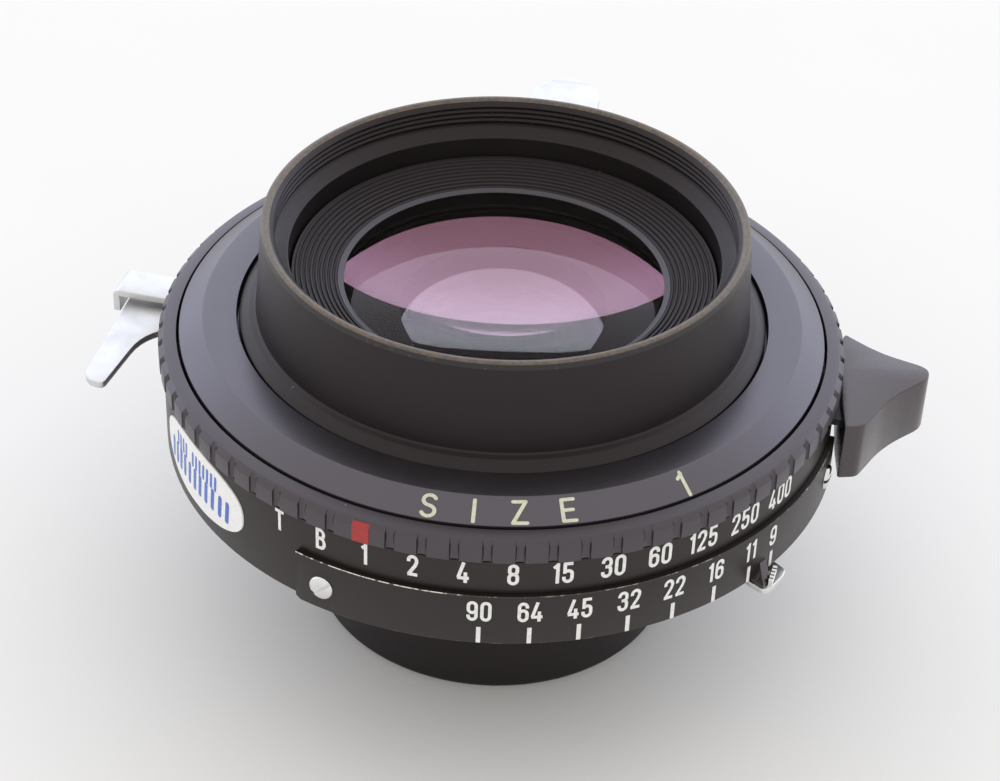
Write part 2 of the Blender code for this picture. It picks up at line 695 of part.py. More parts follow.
def press_focus_lever():
    """Long lever, cranked forward past the speed ring, with a round finger pad."""
    pivot = polar(PRESS_FOCUS_PIVOT_RADIUS, PRESS_FOCUS_ANGLE)
    top, pad_top = LEVER_Z + LEVER_THICKNESS, PRESS_FOCUS_PAD_Z
    half, tail_radius = PRESS_FOCUS_PAD_HALF, 2.4
    tail = [(PRESS_FOCUS_PIVOT_RADIUS - tail_radius * math.cos(a), top, tail_radius * math.sin(a) + 0.2)
            for a in (math.radians(d) for d in (10, 40, 70, 90))]
    crank = [(38.6, top, 3.0), (40.0, top + 0.2, 3.2), (42.8, pad_top - 0.3, 4.0), (44.0, pad_top, half)]
    pad = [(PRESS_FOCUS_TIP_RADIUS - half + half * math.sin(a), pad_top, half * math.cos(a))
           for a in (math.radians(d) for d in (0, 20, 40, 60, 80))]
    lever = strip("press_focus_lever", tail + crank + pad, LEVER_THICKNESS, CHROME, PRESS_FOCUS_ANGLE,
                  PRESS_FOCUS_PIVOT_RADIUS)
    boolean(lever, rod("press_focus_hole", LEVER_HOLE_RADIUS, (*pivot, LEVER_Z - 1.0), (*pivot, top + 1.0), 14))
    lever_pin("press_focus_pin", pivot)


def shutter_drive():
    """Ring that opens the shutter blades."""
    turned("shutter_drive_ring", flat_ring(DRIVE_RING_SIZE, DRIVE_RING_Z, 0.3), STEEL, STEPS_SMALL)


def gear_outline(teeth, root, tip, centre, phase):
    """Toothed outline with narrow teeth; one tooth points at the phase angle."""
    outline = []
    pitch = 360 / teeth
    for i in range(teeth):
        at = phase + pitch * i
        for radius, share in ((root, -0.21), (tip, -0.09), (tip, 0.09), (root, 0.21)):
            x, y = polar(radius, at + pitch * share)
            outline.append((centre[0] + x, centre[1] + y))
    return outline


def retard_train():
    """Gear, escape wheel and pallet that time the slow speeds, on the mechanism plate's posts."""
    for name, centre, outline in retard_parts():
        hole = circle(POST_RADIUS + 0.25, 10, centre)
        sheet(name, [outline, hole], GEAR_Z, LEVER_THICKNESS, BRASS, pivot=centre)


def retard_parts():
    """Name, post position and outline of each part of the slow-speed train."""
    gear_at, wheel_at, pallet_at = polar(*GEAR_POST), polar(*ESCAPE_POST), polar(*PALLET_POST)
    towards = math.degrees(math.atan2(wheel_at[1] - gear_at[1], wheel_at[0] - gear_at[0]))
    gear = gear_outline(GEAR_TEETH, *GEAR_RADII, gear_at, towards)
    wheel = gear_outline(ESCAPE_TEETH, *ESCAPE_RADII, wheel_at, towards + 180 + 180 / ESCAPE_TEETH)
    fork = math.degrees(math.atan2(wheel_at[1] - pallet_at[1], wheel_at[0] - pallet_at[0]))
    arm = []
    for along, across in ((-1.6, 0.9), (0.0, 1.5), (2.2, 2.5), (2.7, 2.2), (1.7, 0.0), (2.7, -2.2),
                          (2.2, -2.5), (0.0, -1.5), (-1.6, -0.9)):
        arm += turn_points([(along, across)], fork)
    pallet = [(pallet_at[0] + x, pallet_at[1] + y) for x, y in arm]
    return [("retard_gear", gear_at, gear), ("escape_wheel", wheel_at, wheel),
            ("retard_pallet", pallet_at, pallet)]


def mechanism_plate():
    """Plate over the levers, with the posts of the slow-speed train and holes for the lever pins."""
    foot = MECHANISM_PLATE_Z
    plate = turned("mechanism_plate", flat_ring(MECHANISM_PLATE_SIZE, foot, SHEET), DARK_STEEL, STEPS_MEDIUM)
    for name, at, _ in retard_parts():
        boolean(plate, rod(f"{name}_post", POST_RADIUS, (*at, foot + 0.2), (*at, POST_TOP_Z), 10), "UNION")
    pivots = {
        "release_pin_hole": RELEASE_PIVOT,
        "press_focus_pin_hole": polar(PRESS_FOCUS_PIVOT_RADIUS, PRESS_FOCUS_ANGLE),
    }
    for name, at in pivots.items():
        boolean(plate, rod(name, LEVER_HOLE_RADIUS, (*at, foot - 0.7), (*at, foot + SHEET + 0.25), 14))


def main_spring():
    """Coil spring that drives the shutter, lying along a chord over the mechanism plate."""
    middle = Vector((*polar(SPRING_RADIUS, SPRING_ANGLE), SPRING_Z))
    along = Vector((*polar(1.0, SPRING_ANGLE + 90), 0.0))
    across = Vector((*polar(1.0, SPRING_ANGLE), 0.0))
    curve = bpy.data.curves.new("main_spring", "CURVE")
    curve.dimensions = "3D"
    curve.bevel_depth = SPRING_WIRE * MM
    curve.bevel_resolution = 1
    curve.use_fill_caps = True
    spline = curve.splines.new("POLY")
    count = SPRING_TURNS * 7 + 1
    spline.points.add(count - 1)
    for i, point in enumerate(spline.points):
        share = i / (count - 1)
        turn = 2 * math.pi * SPRING_TURNS * share
        at = middle + along * SPRING_LENGTH * (share - 0.5) + across * SPRING_COIL * math.cos(turn)
        at.z += SPRING_COIL * math.sin(turn)
        point.co = (at.x * MM, at.y * MM, at.z * MM, 1.0)
    place(bpy.data.objects.new("main_spring", curve), STEEL)


def sync_terminal():
    """Round flash-sync socket on the far side of the case."""
    x, y = polar(CASE_RADIUS + 0.35, SYNC_ANGLE)
    terminal = turned("flash_sync_terminal", [
        (0, 0.4), (0.6, 0.4), (0.6, 4.4), (1.9, 4.4), (2.6, 4.1), (2.6, 0.9), (3.2, 0.7), (3.2, 0.0), (0, 0.0),
    ], CHROME, 16)
    terminal.location = (x * MM, y * MM, SYNC_Z * MM)
    terminal.rotation_euler = (0.0, math.radians(90), math.radians(SYNC_ANGLE))


def lens_board_ring():
    """Flanged ring that clamps the shutter to a lens board."""
    top = SEAT_Z - BOARD_THICKNESS
    foot = top - BOARD_RING_HEIGHT
    turned("lens_board_ring", [
        (BOARD_RING_RADIUS, top),
        (BOARD_RING_RADIUS, foot + BOARD_RING_EASE),
        (BOARD_RING_RADIUS - 2 * BOARD_RING_EASE, foot),
        (BOARD_RING_BORE, foot),
        (BOARD_RING_BORE, top),
    ], BLACK_ALLOY, STEPS_MEDIUM)


def box(name, low, high):
    """A box cutter between two corners."""
    bm = bmesh.new()
    bmesh.ops.create_cube(bm, size=1.0)
    low, high = Vector(low) * MM, Vector(high) * MM
    bmesh.ops.scale(bm, vec=high - low, verts=bm.verts)
    bmesh.ops.translate(bm, vec=(low + high) / 2, verts=bm.verts)
    return cutter(mesh_object(name, bm, None, collection=cutters))


def as_mesh(curve_object, name):
    """Replace a curve object by a closed mesh object, so that it can be cut."""
    bpy.context.view_layer.update()
    evaluated = curve_object.evaluated_get(bpy.context.evaluated_depsgraph_get())
    mesh = bpy.data.meshes.new_from_object(evaluated)
    mesh.name = name
    bm = bmesh.new()
    bm.from_mesh(mesh)
    bmesh.ops.remove_doubles(bm, verts=bm.verts, dist=0.00001)
    bm.to_mesh(mesh)
    bm.free()
    solid = bpy.data.objects.new(name, mesh)
    parts.objects.link(solid)
    solid.parent = axis
    solid.location = curve_object.location
    bpy.data.objects.remove(curve_object, do_unlink=True)
    shade(mesh)
    return solid


def main():
    """Build every piece."""
    global parts, cutters, axis
    clear_scene()
    parts = bpy.data.collections.new("view camera lens")
    cutters = bpy.data.collections.new("cutters")
    for collection in (parts, cutters):
        bpy.context.scene.collection.children.link(collection)
    axis = bpy.data.objects.new("optical_axis", None)
    axis.location = (AXIS_X * MM, AXIS_Y * MM, 0.0)
    parts.objects.link(axis)
    front_cell()
    rear_cell()
    shutter_case()
    front_cover()
    speed_ring()
    mechanism_plate()
    blade_plate()
    blades("iris_blade", IRIS_FIRST_ANGLE, IRIS_BLADE_Z, DARK_STEEL)
    blades("shutter_blade", SHUTTER_FIRST_ANGLE, SHUTTER_BLADE_Z, DARK_STEEL)
    aperture_control()
    scale_plate()
    oval_label()
    shutter_drive()
    cocking_lever()
    release_lever()
    press_focus_lever()
    retard_train()
    main_spring()
    sync_terminal()
    lens_board_ring()


main()
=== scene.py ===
"""Looks of a large-format lens in its leaf shutter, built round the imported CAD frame.

The builders work in millimetres from the optical axis, whose place comes from the CAD's own boxes.
"""
import json
import math

import bmesh
import bpy
from mathutils import Matrix, Vector


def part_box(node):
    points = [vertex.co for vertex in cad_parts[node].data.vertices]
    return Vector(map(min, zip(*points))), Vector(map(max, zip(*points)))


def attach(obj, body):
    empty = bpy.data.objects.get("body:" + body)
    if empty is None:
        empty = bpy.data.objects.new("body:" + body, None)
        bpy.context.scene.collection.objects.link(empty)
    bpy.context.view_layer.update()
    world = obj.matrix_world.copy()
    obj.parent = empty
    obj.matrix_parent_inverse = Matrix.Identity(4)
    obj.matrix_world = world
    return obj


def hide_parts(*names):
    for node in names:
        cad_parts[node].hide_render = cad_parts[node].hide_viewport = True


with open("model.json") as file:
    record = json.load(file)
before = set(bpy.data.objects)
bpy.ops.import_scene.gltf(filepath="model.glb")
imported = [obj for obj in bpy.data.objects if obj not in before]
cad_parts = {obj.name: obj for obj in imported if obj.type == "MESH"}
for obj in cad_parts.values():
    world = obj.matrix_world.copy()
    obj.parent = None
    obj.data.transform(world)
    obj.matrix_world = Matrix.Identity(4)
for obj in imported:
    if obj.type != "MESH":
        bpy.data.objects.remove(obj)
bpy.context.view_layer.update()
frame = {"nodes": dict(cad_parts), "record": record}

MM = 0.001
SEGMENTS = 192

barrel_low, barrel_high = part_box("front_barrel")
AXIS = Vector(((barrel_low.x + barrel_high.x) / 2, (barrel_low.y + barrel_high.y) / 2, 0.0))


def top(node):
    """Height of a CAD node's top."""
    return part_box(node)[1].z / MM


def foot(node):
    """Height of a CAD node's foot."""
    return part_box(node)[0].z / MM


def reach(node):
    """Outer radius of a CAD node that is turned about the optical axis."""
    return (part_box(node)[1].x - AXIS.x) / MM


def middle_of(node):
    """Plan position of the middle of a CAD node."""
    low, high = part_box(node)
    return ((low.x + high.x) / 2 - AXIS.x) / MM, ((low.y + high.y) / 2 - AXIS.y) / MM


def mount_height(name):
    """Height of one of the record's mounts."""
    mount = next(m for m in frame["record"]["mounts"] if m["name"] == name)
    return mount["pos_m"][2] / MM


# Heights of the fixed housing, and the radii of its turned parts.
RIM_TOP = top("front_barrel")
BARREL_FOOT = foot("front_barrel")
PLATE_TOP = top("front_cover")
PLATE_FOOT = foot("front_cover")
PLATE_RADIUS = 31.93
CONE_FOOT = 35.15
CONE_RADIUS = 34.5
RING_RADIUS = 36.75
RING_FOOT = foot("speed_ring")
RING_TOP = top("speed_ring")
CASE_RADIUS = reach("shutter_case")
CASE_TOP = top("shutter_case")
TUBE_FOOT = foot("shutter_case")
TUBE_RADIUS = 19.5
TUBE_BORE = 18.2
SEAT_Z = mount_height("lens_board_seat")
SEAT_RADIUS = 28.0
SCALE_RADIUS = 36.87
SCALE_FOOT = foot("aperture_scale_plate")
SCALE_TOP = top("aperture_scale_plate")
REAR_RADIUS = reach("rear_barrel")
REAR_TOP = top("rear_barrel")

# Glass, the rings that hold it and the stop behind the front element.
FRONT_GLASS_RADIUS = reach("front_outer_element")
FRONT_GLASS_TOP = top("front_outer_element")
REAR_GLASS_RADIUS = reach("rear_outer_element")
BAFFLE_RADIUS = reach("front_baffle_ring")
BAFFLE_FOOT = foot("front_baffle_ring")
STOP_RADIUS = 10.6
STOP_Z = 34.9
THREAD_PITCH = 0.6
THREAD_TURNS = 4
THREAD_ROOT = 24.4
THREAD_CREST = 24.2

# Levers are cut from one thickness of sheet; their slots are cut through the wall of the case.
SHEET = top("release_lever") - foot("release_lever")
LEVER_FOOT = foot("release_lever")
LEVER_TOP = top("release_lever")
BRACKET_TOP = top("cable_release_bracket")
BRACKET_FOOT = foot("cable_release_bracket")
PRESS_TOP = top("press_focus_lever")
SLOT_FOOT = 29.2
SLOT_TOP = 30.8
COCKING_SLOT = (-19.5, 37.0)
PRESS_SLOT = (62.0, 94.0)
RELEASE_SLOT = (152.0, 187.0)
POINTER_SLOT = (-94.5, -36.0)

SCALE_SPAN = (-122.0, -14.0)
SCREW_ANGLES = (-117.2, -18.5)
SCREW_Z = 24.85
SCREW_RADIUS = 36.95

NOTCH_PITCH = 5.0
NOTCH_FIRST = -110.8
NOTCH_HALF_WIDTH = 0.78
NOTCH_DEPTH = 0.4

STICKER_ANGLE = -147.9
STICKER_HALF_ANGLE = 13.9
STICKER_Z = 27.6
STICKER_HALF_HEIGHT = 3.85

# Each number or letter with the angle it stands at.
SPEED_MARKS = [("T", -125.8), ("B", -117.8), ("1", -110.2), ("2", -102.3), ("4", -94.4), ("8", -86.7),
               ("15", -79.0), ("30", -70.95), ("60", -63.0), ("125", -55.0), ("250", -46.1), ("400", -37.1)]
APERTURE_MARKS = [("90", -91.7), ("64", -83.9), ("45", -76.2), ("32", -68.3), ("22", -60.5), ("16", -52.6),
                  ("11", -45.0), ("9", -39.4)]
SIZE_MARKS = [("S", -101.0), ("I", -93.4), ("Z", -85.8), ("E", -77.6), ("1", -56.5)]


# ---------------- materials

DUST_SPACING = 1.3
DUST_COLOUR = (0.3, 0.29, 0.28)
GLASS_TINT = (0.97, 0.95, 0.95)


def shader_tree(name):
    """A new material with its node tree and its Principled shader."""
    material = bpy.data.materials.new(name)
    material.use_nodes = True
    tree = material.node_tree
    return material, tree, tree.nodes["Principled BSDF"]


def feed(tree, node, values):
    """Give a node's sockets their numbers or colours, or link the outputs of other nodes to them."""
    for key, value in values.items():
        if isinstance(value, (int, float)):
            node.inputs[key].default_value = value
        elif isinstance(value, tuple):
            node.inputs[key].default_value = (*value, 1.0)
        else:
            tree.links.new(value, node.inputs[key])


def noise(tree, size_mm, detail=3.0, roughness=0.55):
    """A noise texture with features of about the given size."""
    node = tree.nodes.new("ShaderNodeTexNoise")
    feed(tree, node, {"Vector": coordinates(tree), "Scale": 1.0 / (size_mm * MM), "Detail": detail,
                      "Roughness": roughness})
    return node.outputs["Fac"]


def coordinates(tree):
    """Object coordinates, in metres."""
    node = tree.nodes.get("Place") or tree.nodes.new("ShaderNodeTexCoord")
    node.name = "Place"
    return node.outputs["Object"]


def spread(tree, value, low, high, new_low, new_high, shape="LINEAR"):
    """A clamped map from one range to another."""
    node = tree.nodes.new("ShaderNodeMapRange")
    node.interpolation_type = shape
    feed(tree, node, {"Value": value, "From Min": low, "From Max": high, "To Min": new_low,
                      "To Max": new_high})
    return node.outputs["Result"]


def combine(tree, operation, a, b):
    """A maths node on two values, either of which may be a plain number."""
    node = tree.nodes.new("ShaderNodeMath")
    node.operation = operation
    feed(tree, node, {0: a, 1: b})
    return node.outputs["Value"]


def blend(tree, share, first, second):
    """A colour that goes from the first to the second with the share."""
    node = tree.nodes.new("ShaderNodeMix")
    node.data_type = "RGBA"
    feed(tree, node, {"Factor": share, "A": first, "B": second})
    return node.outputs["Result"]


def specks(tree, size_mm, share):
    """A mask of rare small dots, as of dust or tiny chips."""
    node = tree.nodes.new("ShaderNodeTexVoronoi")
    feed(tree, node, {"Vector": coordinates(tree), "Scale": 1.0 / (size_mm * MM)})
    near = spread(tree, node.outputs["Distance"], 0.03, 0.07, 1.0, 0.0)
    split = tree.nodes.new("ShaderNodeSeparateColor")
    feed(tree, split, {"Color": node.outputs["Color"]})
    chosen = combine(tree, "LESS_THAN", split.outputs["Red"], share)
    return combine(tree, "MULTIPLY", near, chosen)


def roughen(tree, shader, relief, strength, depth_mm):
    """Bump the surface with a value."""
    bump = tree.nodes.new("ShaderNodeBump")
    feed(tree, bump, {"Strength": strength, "Distance": depth_mm * MM, "Height": relief})
    feed(tree, shader, {"Normal": bump.outputs["Normal"]})


def uneven_gloss(tree, shader, value, roughness, change):
    """Let a noise value change the roughness by a share each way."""
    varied = spread(tree, value, 0.3, 0.7, roughness * (1 - change), roughness * (1 + change))
    feed(tree, shader, {"Roughness": varied})


def satin(name, colour, roughness, metallic=0.0, grain=0.12, grain_size=0.2, mottle=0.22, dust=0.02,
          index=1.6, gloss_tint=(1.0, 0.88, 0.92)):
    """Black or metal finish with a fine grain, uneven gloss and a little dust."""
    material, tree, shader = shader_tree(name)
    cloud = noise(tree, 9.0, 4.0)
    fine = noise(tree, grain_size, 2.0)
    broad = spread(tree, cloud, 0.3, 0.7, 0.0, 0.5)
    tone = combine(tree, "ADD", broad, spread(tree, fine, 0.3, 0.7, 0.0, 0.5))
    dark = tuple(c * (1 - mottle) for c in colour)
    light = tuple(min(1.0, c * (1 + mottle)) for c in colour)
    base = blend(tree, tone, dark, light)
    if dust:
        base = blend(tree, specks(tree, DUST_SPACING, dust), base, DUST_COLOUR)
    rough = spread(tree, tone, 0.0, 1.0, roughness * 0.86, roughness * 1.14)
    feed(tree, shader, {"Base Color": base, "Roughness": rough, "Metallic": metallic, "IOR": index})
    if metallic == 0:
        feed(tree, shader, {"Specular Tint": gloss_tint})
    roughen(tree, shader, fine, grain, 0.05)
    return material


def worn(name, paint, metal, share, size_mm=0.7):
    """Paint rubbed through to metal in patches."""
    material, tree, shader = shader_tree(name)
    patches = noise(tree, size_mm, 6.0, 0.7)
    threshold = 0.62 - share * 0.3
    mask = spread(tree, patches, threshold, threshold + 0.06, 0.0, 1.0)
    feed(tree, shader, {"Base Color": blend(tree, mask, paint, metal),
                        "Metallic": spread(tree, mask, 0.0, 1.0, 0.0, 0.85)})
    uneven_gloss(tree, shader, patches, 0.4, 0.2)
    return material


def chrome(name, colour, roughness):
    """Bright plate with faint rub marks."""
    material, tree, shader = shader_tree(name)
    cloud = noise(tree, 2.2, 5.0)
    base = blend(tree, spread(tree, cloud, 0.35, 0.75, 0.0, 1.0), colour, tuple(c * 0.94 for c in colour))
    feed(tree, shader, {"Base Color": base, "Metallic": 1.0})
    uneven_gloss(tree, shader, cloud, roughness, 0.15)
    roughen(tree, shader, noise(tree, 0.3, 2.0), 0.04, 0.02)
    return material


def print_ink(name, colour, roughness=0.45):
    """Filled engraving or printed ink, slightly uneven."""
    material, tree, shader = shader_tree(name)
    uneven = noise(tree, 0.35, 3.0)
    base = blend(tree, spread(tree, uneven, 0.3, 0.75, 0.0, 1.0), colour, tuple(c * 0.78 for c in colour))
    feed(tree, shader, {"Base Color": base})
    uneven_gloss(tree, shader, uneven, roughness, 0.1)
    return material


def coated_glass(name, reflection, index):
    """Lens glass whose anti-reflection film colours what it reflects."""
    material, tree, shader = shader_tree(name)
    film = noise(tree, 6.0, 2.0)
    tint = blend(tree, film, GLASS_TINT, tuple(c * 0.985 for c in GLASS_TINT))
    feed(tree, shader, {"Base Color": tint, "Roughness": 0.0, "IOR": index, "Transmission Weight": 1.0,
                        "Specular Tint": reflection})
    return material


# ---------------- geometry helpers

def polar(radius, angle):
    """Plan position at a radius and an angle in degrees."""
    return radius * math.cos(math.radians(angle)), radius * math.sin(math.radians(angle))


def at(x, y, z):
    """World position of a point in millimetres from the optical axis."""
    return Vector((AXIS.x + x * MM, AXIS.y + y * MM, z * MM))


def rounded(points, size, steps=3):
    """A closed outline with each corner eased over the given size; a third value overrides the size."""
    result = []
    count = len(points)
    for i, point in enumerate(points):
        ease = point[2] if len(point) > 2 else size
        here = Vector(point[:2])
        before = Vector(points[i - 1][:2]) - here
        after = Vector(points[(i + 1) % count][:2]) - here
        if ease == 0:
            result.append((here.x, here.y))
            continue
        start = here + before.normalized() * min(ease, before.length * 0.45)
        end = here + after.normalized() * min(ease, after.length * 0.45)
        for k in range(steps + 1):
            t = k / steps
            p = start * (1 - t) ** 2 + here * 2 * t * (1 - t) + end * t ** 2
            result.append((p.x, p.y))
    return result


def finish_piece(name, bm, body, materials, replaced=(), angle=35.0):
    """Turn a bmesh into a shaded piece that rides on a body and stands for CAD nodes."""
    return dress(in_scene(name, closed_mesh(name, bm)), body, materials, replaced, angle)


def closed_mesh(name, bm):
    """The mesh of a closed bmesh, its faces turned outwards."""
    bmesh.ops.recalc_face_normals(bm, faces=bm.faces)
    mesh = bpy.data.meshes.new(name)
    bm.to_mesh(mesh)
    bm.free()
    return mesh


def in_scene(name, data):
    """A new object in the scene."""
    obj = bpy.data.objects.new(name, data)
    bpy.context.scene.collection.objects.link(obj)
    return obj


def lasting_mesh(obj):
    """The mesh of an object with its modifiers or its curve's fill made final."""
    bpy.context.view_layer.update()
    evaluated = obj.evaluated_get(bpy.context.evaluated_depsgraph_get())
    return bpy.data.meshes.new_from_object(evaluated)


def dress(obj, body, materials, replaced=(), angle=35.0):
    """Shade an object, give it its materials and tie it to the frame."""
    obj.data.shade_smooth()
    obj.data.set_sharp_from_angle(angle=math.radians(angle))
    for material in materials if isinstance(materials, (list, tuple)) else [materials]:
        obj.data.materials.append(material)
    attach(obj, body)
    if replaced:
        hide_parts(*replaced)
    return obj


def bridge(bm, a, b):
    """Faces between two rings of vertices; a ring of one vertex is a tip."""
    count = max(len(a), len(b))
    faces = []
    for i in range(count):
        j = (i + 1) % count
        if len(a) == 1:
            faces.append(bm.faces.new((a[0], b[i], b[j])))
        elif len(b) == 1:
            faces.append(bm.faces.new((a[i], b[0], a[j])))
        else:
            faces.append(bm.faces.new((a[i], b[i], b[j], a[j])))
    return faces


def lathe_mesh(profile, segments, paint=None):
    """A closed or on-axis profile turned about the optical axis; paint picks a face's material slot."""
    bm = bmesh.new()
    rings = []
    for r, z in profile:
        if r < 1e-6:
            rings.append([bm.verts.new(at(0, 0, z))])
            continue
        rings.append([bm.verts.new(at(*polar(r, 360 * i / segments), z)) for i in range(segments)])
    closed = profile[0][0] > 1e-6
    pairs = list(zip(rings, rings[1:])) + ([(rings[-1], rings[0])] if closed else [])
    for k, (a, b) in enumerate(pairs):
        r = (profile[k][0] + profile[(k + 1) % len(profile)][0]) / 2
        z = (profile[k][1] + profile[(k + 1) % len(profile)][1]) / 2
        index = paint(r, z) if paint else 0
        for face in bridge(bm, a, b):
            face.material_index = index
    return bm


def lathe(name, profile, materials, node, ease, paint=None):
    """A turned piece of the housing with eased corners."""
    bm = lathe_mesh(rounded(profile, ease), SEGMENTS, paint)
    return finish_piece(name, bm, "housing", materials, [node])


def skin(bm, rows, close_rows=False):
    """Faces between rows of vertices; each row is a closed loop, and the last rows are capped or joined."""
    count = len(rows[0])
    pairs = list(zip(rows, rows[1:])) + ([(rows[-1], rows[0])] if close_rows else [])
    for a, b in pairs:
        for k in range(count):
            n = (k + 1) % count
            bm.faces.new((a[k], a[n], b[n], b[k]))
    if not close_rows:
        bm.faces.new(rows[0])
        bm.faces.new(reversed(rows[-1]))


def cut_plate(name, outlines, bottom, thickness, body, materials, replaced, bevel=0.1):
    """A flat piece cut to outlines in plan, with eased edges."""
    curve = bpy.data.curves.new(name, "CURVE")
    curve.dimensions = "2D"
    curve.fill_mode = "BOTH"
    curve.extrude = (thickness / 2 - bevel) * MM
    curve.bevel_depth = bevel * MM
    curve.bevel_resolution = 2
    curve.offset = -bevel * MM
    for outline in outlines:
        spline = curve.splines.new("POLY")
        spline.points.add(len(outline) - 1)
        for point, (x, y) in zip(spline.points, outline):
            point.co = (x * MM, y * MM, 0.0, 1.0)
        spline.use_cyclic_u = True
    mesh = curve_mesh(curve, name)
    mesh.transform(Matrix.Translation(at(0, 0, bottom + thickness / 2)))
    return dress(in_scene(name, mesh), body, materials, replaced)


def curve_mesh(curve, name):
    """The filled mesh of a curve."""
    holder = in_scene(name + "_curve", curve)
    mesh = lasting_mesh(holder)
    mesh.name = name
    bpy.data.objects.remove(holder, do_unlink=True)
    bm = bmesh.new()
    bm.from_mesh(mesh)
    bmesh.ops.remove_doubles(bm, verts=bm.verts, dist=0.002 * MM)
    bm.to_mesh(mesh)
    bm.free()
    return mesh


def circle(radius, count, centre=(0.0, 0.0)):
    """Points of a circle in plan."""
    points = [polar(radius, 360 * i / count) for i in range(count)]
    return [(centre[0] + x, centre[1] + y) for x, y in points]


def bent_strip(name, stations, thickness, direction, body, materials, replaced):
    """A bent strip of sheet with eased edges; a station is (distance, height of upper face, half width)."""
    bm = bmesh.new()
    rows = []
    for i, (distance, height, half) in enumerate(stations):
        before = Vector(stations[max(i - 1, 0)][:2])
        after = Vector(stations[min(i + 1, len(stations) - 1)][:2])
        along = (after - before).normalized()
        normal = Vector((-along.y, along.x))
        corners = [(-half, 0.0), (half, 0.0), (half, -thickness), (-half, -thickness)]
        row = []
        for side, drop in rounded(corners, 0.2 * thickness, 2):
            p = Vector((distance, height)) + normal * drop
            x, y = polar(p.x, direction)
            dx, dy = polar(side, direction - 90)
            row.append(bm.verts.new(at(x + dx, y + dy, p.y)))
        rows.append(row)
    skin(bm, rows)
    return finish_piece(name, bm, body, materials, replaced)


def round_end(tip, height, half):
    """Stations that round off the end of a strip."""
    return [(x, height, width) for x, width in bow(tip - half, 0.0, half, half, 90, 4, 6)]


def bow(x, y, rx, ry, start, end, count=9):
    """Points of an elliptical arc."""
    points = []
    for i in range(count + 1):
        a = math.radians(start + (end - start) * i / count)
        points.append((x + rx * math.cos(a), y + ry * math.sin(a)))
    return points


def half_turn(points, width):
    """The strokes of a sign turned upside down."""
    return [(width - x, 1.0 - y) for x, y in points]


UPPER_BOWL = bow(0.24, 0.755, 0.175, 0.18, 0, 180)
LOWER_BOWL = bow(0.24, 0.245, 0.175, 0.18, 180, 360)
LOWER_HOOK = bow(0.24, 0.245, 0.175, 0.18, 0, -180)
SIX = [(0.415, 0.7)] + UPPER_BOWL + [(0.065, 0.3)] + LOWER_BOWL + [(0.415, 0.4)]
SIX += bow(0.24, 0.405, 0.175, 0.175, 0, 180)
THREE_TOP = [(0.065, 0.71)] + bow(0.24, 0.76, 0.17, 0.175, 180, 0) + bow(0.25, 0.675, 0.16, 0.14, 0, -90)
THREE_FOOT = [(0.17, 0.535)] + bow(0.25, 0.37, 0.165, 0.165, 90, 0) + LOWER_HOOK + [(0.065, 0.3)]
EIGHT_TOP = bow(0.24, 0.8, 0.16, 0.135, 0, 180) + bow(0.24, 0.66, 0.16, 0.135, 180, 360) + [(0.4, 0.8)]
EIGHT_FOOT = bow(0.24, 0.36, 0.175, 0.165, 0, 180) + bow(0.24, 0.24, 0.175, 0.175, 180, 360)
# Each sign: its width, then its strokes; a stroke that ends where it starts is a closed loop. Height is 1.
SIGNS = {
    "0": (0.48, [UPPER_BOWL + LOWER_BOWL + [(0.415, 0.755)]]),
    "1": (0.3, [[(0.22, 0.0), (0.22, 1.0)], [(0.25, 0.93), (0.04, 0.77)]]),
    "2": (0.48, [[(0.065, 0.68)] + bow(0.24, 0.755, 0.175, 0.18, 180, 0)
                 + [(0.41, 0.66), (0.35, 0.5), (0.07, 0.06)],
                 [(0.02, 0.065), (0.46, 0.065)]]),
    "3": (0.48, [THREE_TOP, THREE_FOOT]),
    "4": (0.5, [[(0.27, 1.0), (0.04, 0.24)], [(0.0, 0.235), (0.5, 0.235)], [(0.35, 0.52), (0.35, 0.0)]]),
    "5": (0.48, [[(0.44, 0.935), (0.03, 0.935)], [(0.095, 0.97), (0.095, 0.46)],
                 bow(0.24, 0.43, 0.175, 0.16, 160, 0) + LOWER_HOOK + [(0.065, 0.31)]]),
    "6": (0.48, [SIX]),
    "8": (0.48, [EIGHT_TOP, EIGHT_FOOT + [(0.415, 0.36)]]),
    "9": (0.48, [half_turn(SIX, 0.48)]),
    "T": (0.48, [[(0.0, 0.935), (0.48, 0.935)], [(0.24, 0.93), (0.24, 0.0)]]),
    "B": (0.48, [[(0.065, 0.0), (0.065, 1.0)],
                 [(0.065, 0.935)] + bow(0.22, 0.735, 0.165, 0.2, 90, -90) + [(0.065, 0.535)],
                 [(0.065, 0.53)] + bow(0.24, 0.298, 0.175, 0.232, 90, -90) + [(0.065, 0.066)]]),
    "S": (0.62, [bow(0.31, 0.72, 0.23, 0.205, 28, 262, 14) + bow(0.31, 0.285, 0.235, 0.22, 82, -152, 14)]),
    "I": (0.13, [[(0.065, 0.065), (0.065, 0.935)]]),
    "Z": (0.64, [[(0.09, 0.935), (0.55, 0.935)], [(0.55, 0.935), (0.08, 0.065)],
                 [(0.08, 0.065), (0.57, 0.065)]]),
    "E": (0.56, [[(0.065, 0.065), (0.065, 0.935)], [(0.065, 0.935), (0.5, 0.935)],
                 [(0.065, 0.51), (0.44, 0.51)], [(0.065, 0.065), (0.5, 0.065)]]),
}
SIGN_GAP = 0.13
INK_LIFT = 0.03


